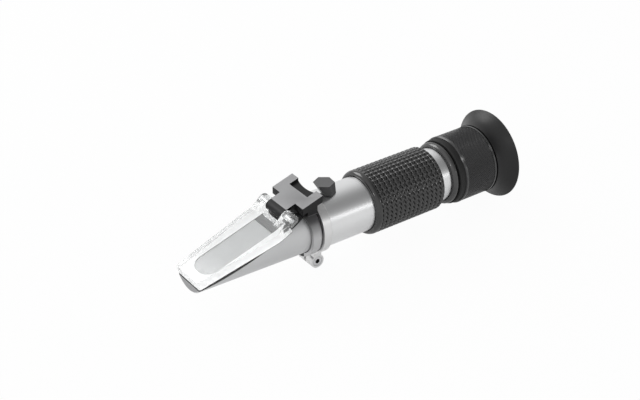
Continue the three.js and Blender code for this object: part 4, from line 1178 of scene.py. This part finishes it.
# %% Hinge pin
PIN_HALF = 10.5
pin = bar("hinge_pin_steel", on_pin(-PIN_HALF), on_pin(PIN_HALF), PIN_RADIUS)
soften(pin, 0.2, segments=3)
finish_piece(pin, steel, "body", "steel", "hinge_pin")

# %% [markdown]
# ## Daylight plate
# The lid is a thick piece of clear plastic that presses the drop of coolant flat on the prism,
# and two ears reach back to the hinge pin. A cube could be turned to the slope, but the outline
# is easier to draw on the seat itself and to pull up square to it. The ears are drawn from the
# side, as an arc round the pin with a tangent down to the plate.

# %% Plate
EAR_INNER, EAR_OUTER, EAR_RADIUS = 5.7, 10.5, 2.7
PLATE_GAP, PLATE_THICKNESS, PLATE_CORNER, FRONT_HALF = 0.3, 4.0, 1.0, 8.0
EAR_ROOT, WIDEST_BACK, WIDEST_HALF, WEB_BACK = 44.6, 37.5, 11.4, 35.2


def plate_outline(lift, inset=0.0):
    """The plate's outline on the slope, with rounded front corners."""
    root, wide = EAR_ROOT - inset, WIDEST_HALF - inset
    points = [(root, -EAR_OUTER + inset), (root, EAR_OUTER - inset), (WIDEST_BACK, wide)]
    points += front_corners(PLATE_GAP + inset, FRONT_HALF - inset, PLATE_CORNER, 6)
    points.append((WIDEST_BACK, -wide))
    return [on_seat(b, a, lift) for b, a in points]


plate = slab("daylight_plate_clear", plate_outline(PLATE_GAP), OFF_SEAT * PLATE_THICKNESS * MM)
print("plate before its ears:", [round(v / MM, 2) for v in plate.dimensions])

# %% Plate's ears
web_station = HOUSING_FRONT - WEB_BACK * math.cos(SLOPE)
mid_lift = (PLATE_GAP + PLATE_THICKNESS / 2) / math.cos(SLOPE)
foot = (web_station, seat_height(web_station) + mid_lift)
ear_points = [(PIN_STATION, seat_height(PIN_STATION) + mid_lift), foot]
ear_points += arc_round_pin(EAR_RADIUS, tangent_angle(EAR_RADIUS, foot, -1), -math.pi / 6, 20)
ears = [slab("ear", [at(s, start, h) for s, h in ear_points], ACROSS * (EAR_OUTER - EAR_INNER) * MM)
        for start in (EAR_INNER, -EAR_OUTER)]
weld(plate, *ears)


def nose_room():
    """A cutter that keeps the space between the ears free for the bracket's nose."""
    return brick("slot", (PIN_STATION - 6, PIN_STATION + 2.9), (-EAR_INNER, EAR_INNER), (-20, 16))


carve(plate, nose_room(), bar("pin hole", on_pin(-12), on_pin(12), PIN_HOLE))
soften(plate, 0.3, segments=3, sharper_than=38)
finish_piece(plate, plate_clear, "plate", "clear_plastic", "daylight_plate")

# %% [markdown]
# ## Frosted film
# The lid's underside is frosted round the window. A rough underside could be a mask in the
# plate's material, but through clear plastic it would hardly show. So a thin film, with the
# window left out of it, lies against the underside and rides with the plate.

# %% Frosted film
FILM_DROP, FILM_THICKNESS, FILM_INSET = 0.22, 0.24, 0.05
window_half, past_plate = PRISM_HALF - GAP, 60
film = slab("daylight_plate_film", plate_outline(PLATE_GAP - FILM_DROP, FILM_INSET),
            OFF_SEAT * FILM_THICKNESS * MM)
window_back = [on_seat(past_plate, -window_half, -1.0), on_seat(past_plate, window_half, -1.0)]
window = slab("window", prism_outline(-GAP, -1.0)[2:] + window_back, OFF_SEAT * 3 * MM)
carve(film, window, nose_room())
soften(film, 0.0)
finish_piece(film, plate_frost, "plate", "clear_plastic")

# %% [markdown]
# ## Calibration cap
# A rubber cap covers the calibration screw. It flares upwards with six sides and overhangs
# towards the prism, so that a finger can pull it off. A loft between two outlines would do it,
# but a cone with six sides is already that loft: its top is moved forwards and inset, and the
# bottom is hollowed to fit the screw and the tube.

# %% Calibration cap
CAP_BASE, CAP_TOP, CAP_HEIGHT, CAP_SKIRT, CAP_OVERHANG = 2.9, 4.5, 5.8, 1.2, 2.3
CAP_TWIST = math.radians(54.2)
cap = bar("calibration_cap_rubber", over_screw(TUBE_RADIUS - CAP_SKIRT), over_screw(TUBE_RADIUS + CAP_HEIGHT),
          CAP_BASE, 6, CAP_TWIST, CAP_TOP)
bpy.ops.object.mode_set(mode="EDIT")
choose_faces(cap, lambda centre, normal: normal.z > 0.9)
lean = CAP_OVERHANG / CAP_HEIGHT * (CAP_HEIGHT + CAP_SKIRT)
bpy.ops.transform.translate(value=(-lean * MM, 0, 0))
bpy.ops.mesh.inset(thickness=0.5 * MM, depth=-0.12 * MM)
bpy.ops.object.mode_set(mode="OBJECT")
cap.data.transform(Matrix.Translation(ALONG * CAP_OVERHANG / CAP_HEIGHT * CAP_SKIRT * MM))
carve(cap,
      plug("tube room", 80, 98, SLEEVE_BORE),
      bar("screw room", over_screw(9), over_screw(13.55), 1.8))
soften(cap, 0.45, segments=4, sharper_than=25)
finish_piece(cap, cap_black, "cap", "black_anodised", "calibration_cap")

# %% [markdown]
# ## Calibration screw
# Under the cap sits a brass screw with a slot. Its tip is off its axis, so that a turn shifts
# the cell of the lens under it a little. Head, shank and tip are bars welded together, and the
# slot is cut.

# %% Calibration screw
SCREW_HEAD_LOW, SCREW_HEAD_HIGH, SLOT_FLOOR, SLOT_HALF, TIP_ASIDE = 12.25, 13.25, 12.75, 0.3, 0.3
screw = bar("calibration_screw_slotted", over_screw(SCREW_HEAD_LOW), over_screw(SCREW_HEAD_HIGH), 1.5)
weld(screw,
     bar("shank", over_screw(TUBE_BORE), over_screw(12.5), 1.1, 32),
     bar("tip", over_screw(9.0, TIP_ASIDE), over_screw(10.9, TIP_ASIDE), 0.8, 32))
carve(screw, brick("slot", (SCREW_STATION + 3, SCREW_STATION - 3),
                   (SCREW_ACROSS - SLOT_HALF, SCREW_ACROSS + SLOT_HALF), (SLOT_FLOOR, SLOT_FLOOR + 2)))
soften(screw, 0.08)
finish_piece(screw, brass, "screw", "brass", "calibration_screw")

# %% [markdown]
# ## Inside the eyepiece
# Looking into the eyecup one sees the retaining ring, with two notches for a spanner, and the
# curved face of the eye lens. Both are turned. The lens could be a squashed ball, but its two
# faces are shallow and its rim is straight, so each face is a short formula in the section.

# %% Eyepiece retainer
RETAINER_BACK, RETAINER_FRONT, RETAINER_INNER, RETAINER_OUTER = 5.8, 7.2, 8.0, 12.0
NOTCH_SIDE, NOTCH_LOW, NOTCH_HIGH = 0.7, 9.2, 10.8
retainer = turned("eyepiece_retainer_notched", [
    (RETAINER_BACK, RETAINER_INNER), (RETAINER_BACK, RETAINER_OUTER), (RETAINER_FRONT, RETAINER_OUTER),
    (RETAINER_FRONT, RETAINER_INNER)])
for side in (1, -1):
    low, high = side * NOTCH_LOW, side * NOTCH_HIGH
    carve(retainer, slab("notch", [at(5, -NOTCH_SIDE, low), at(5, NOTCH_SIDE, low), at(5, NOTCH_SIDE, high),
                                   at(5, -NOTCH_SIDE, high)], -ALONG * 1.4 * MM))
soften(retainer, 0.12)
finish_piece(retainer, cell_black, "eyepiece", "black_cell", "eyepiece_retainer")

# %% Eye lens
LENS_BACK, LENS_FRONT, LENS_BULGE, LENS_RADIUS, LENS_STEPS = 7.5, 9.1, 1.2, 8.7, 12
shares = [i / LENS_STEPS for i in range(LENS_STEPS + 1)]
bulge = [(LENS_BACK - LENS_BULGE * (1 - share ** 2), LENS_RADIUS * share) for share in shares]
back = [(LENS_FRONT + LENS_BULGE * (1 - share ** 2), LENS_RADIUS * share) for share in shares[::-1]]
lens = turned("eye_lens_glass", bulge + back, closed=False)
soften(lens, 0.0, sharper_than=45)
finish_piece(lens, lens_glass, "barrel", "lens_glass", "eye_lens")

# %% [markdown]
# ## The pieces that stay as they are
# What is hidden inside keeps its CAD solid. Each still gets a finish, because an open cap or a
# cut view may show it.

# %% Finishes of the inner pieces
inner = {
    "lens_barrel": cell_black, "lens_spacer": cell_black, "field_lens": lens_glass, "guide_pin": steel,
    "field_stop": cell_black, "reticle": lens_glass, "reticle_ring": cell_black, "light_stop": cell_black,
    "objective_carriage": cell_black, "objective_lens": lens_glass, "objective_retainer": cell_black,
    "bimetal_strip": brass, "bimetal_screw": steel,
}
for node, finish in inner.items():
    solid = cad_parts[node]
    solid.data.materials.clear()
    solid.data.materials.append(finish[0])
print("inner pieces:", len(inner))
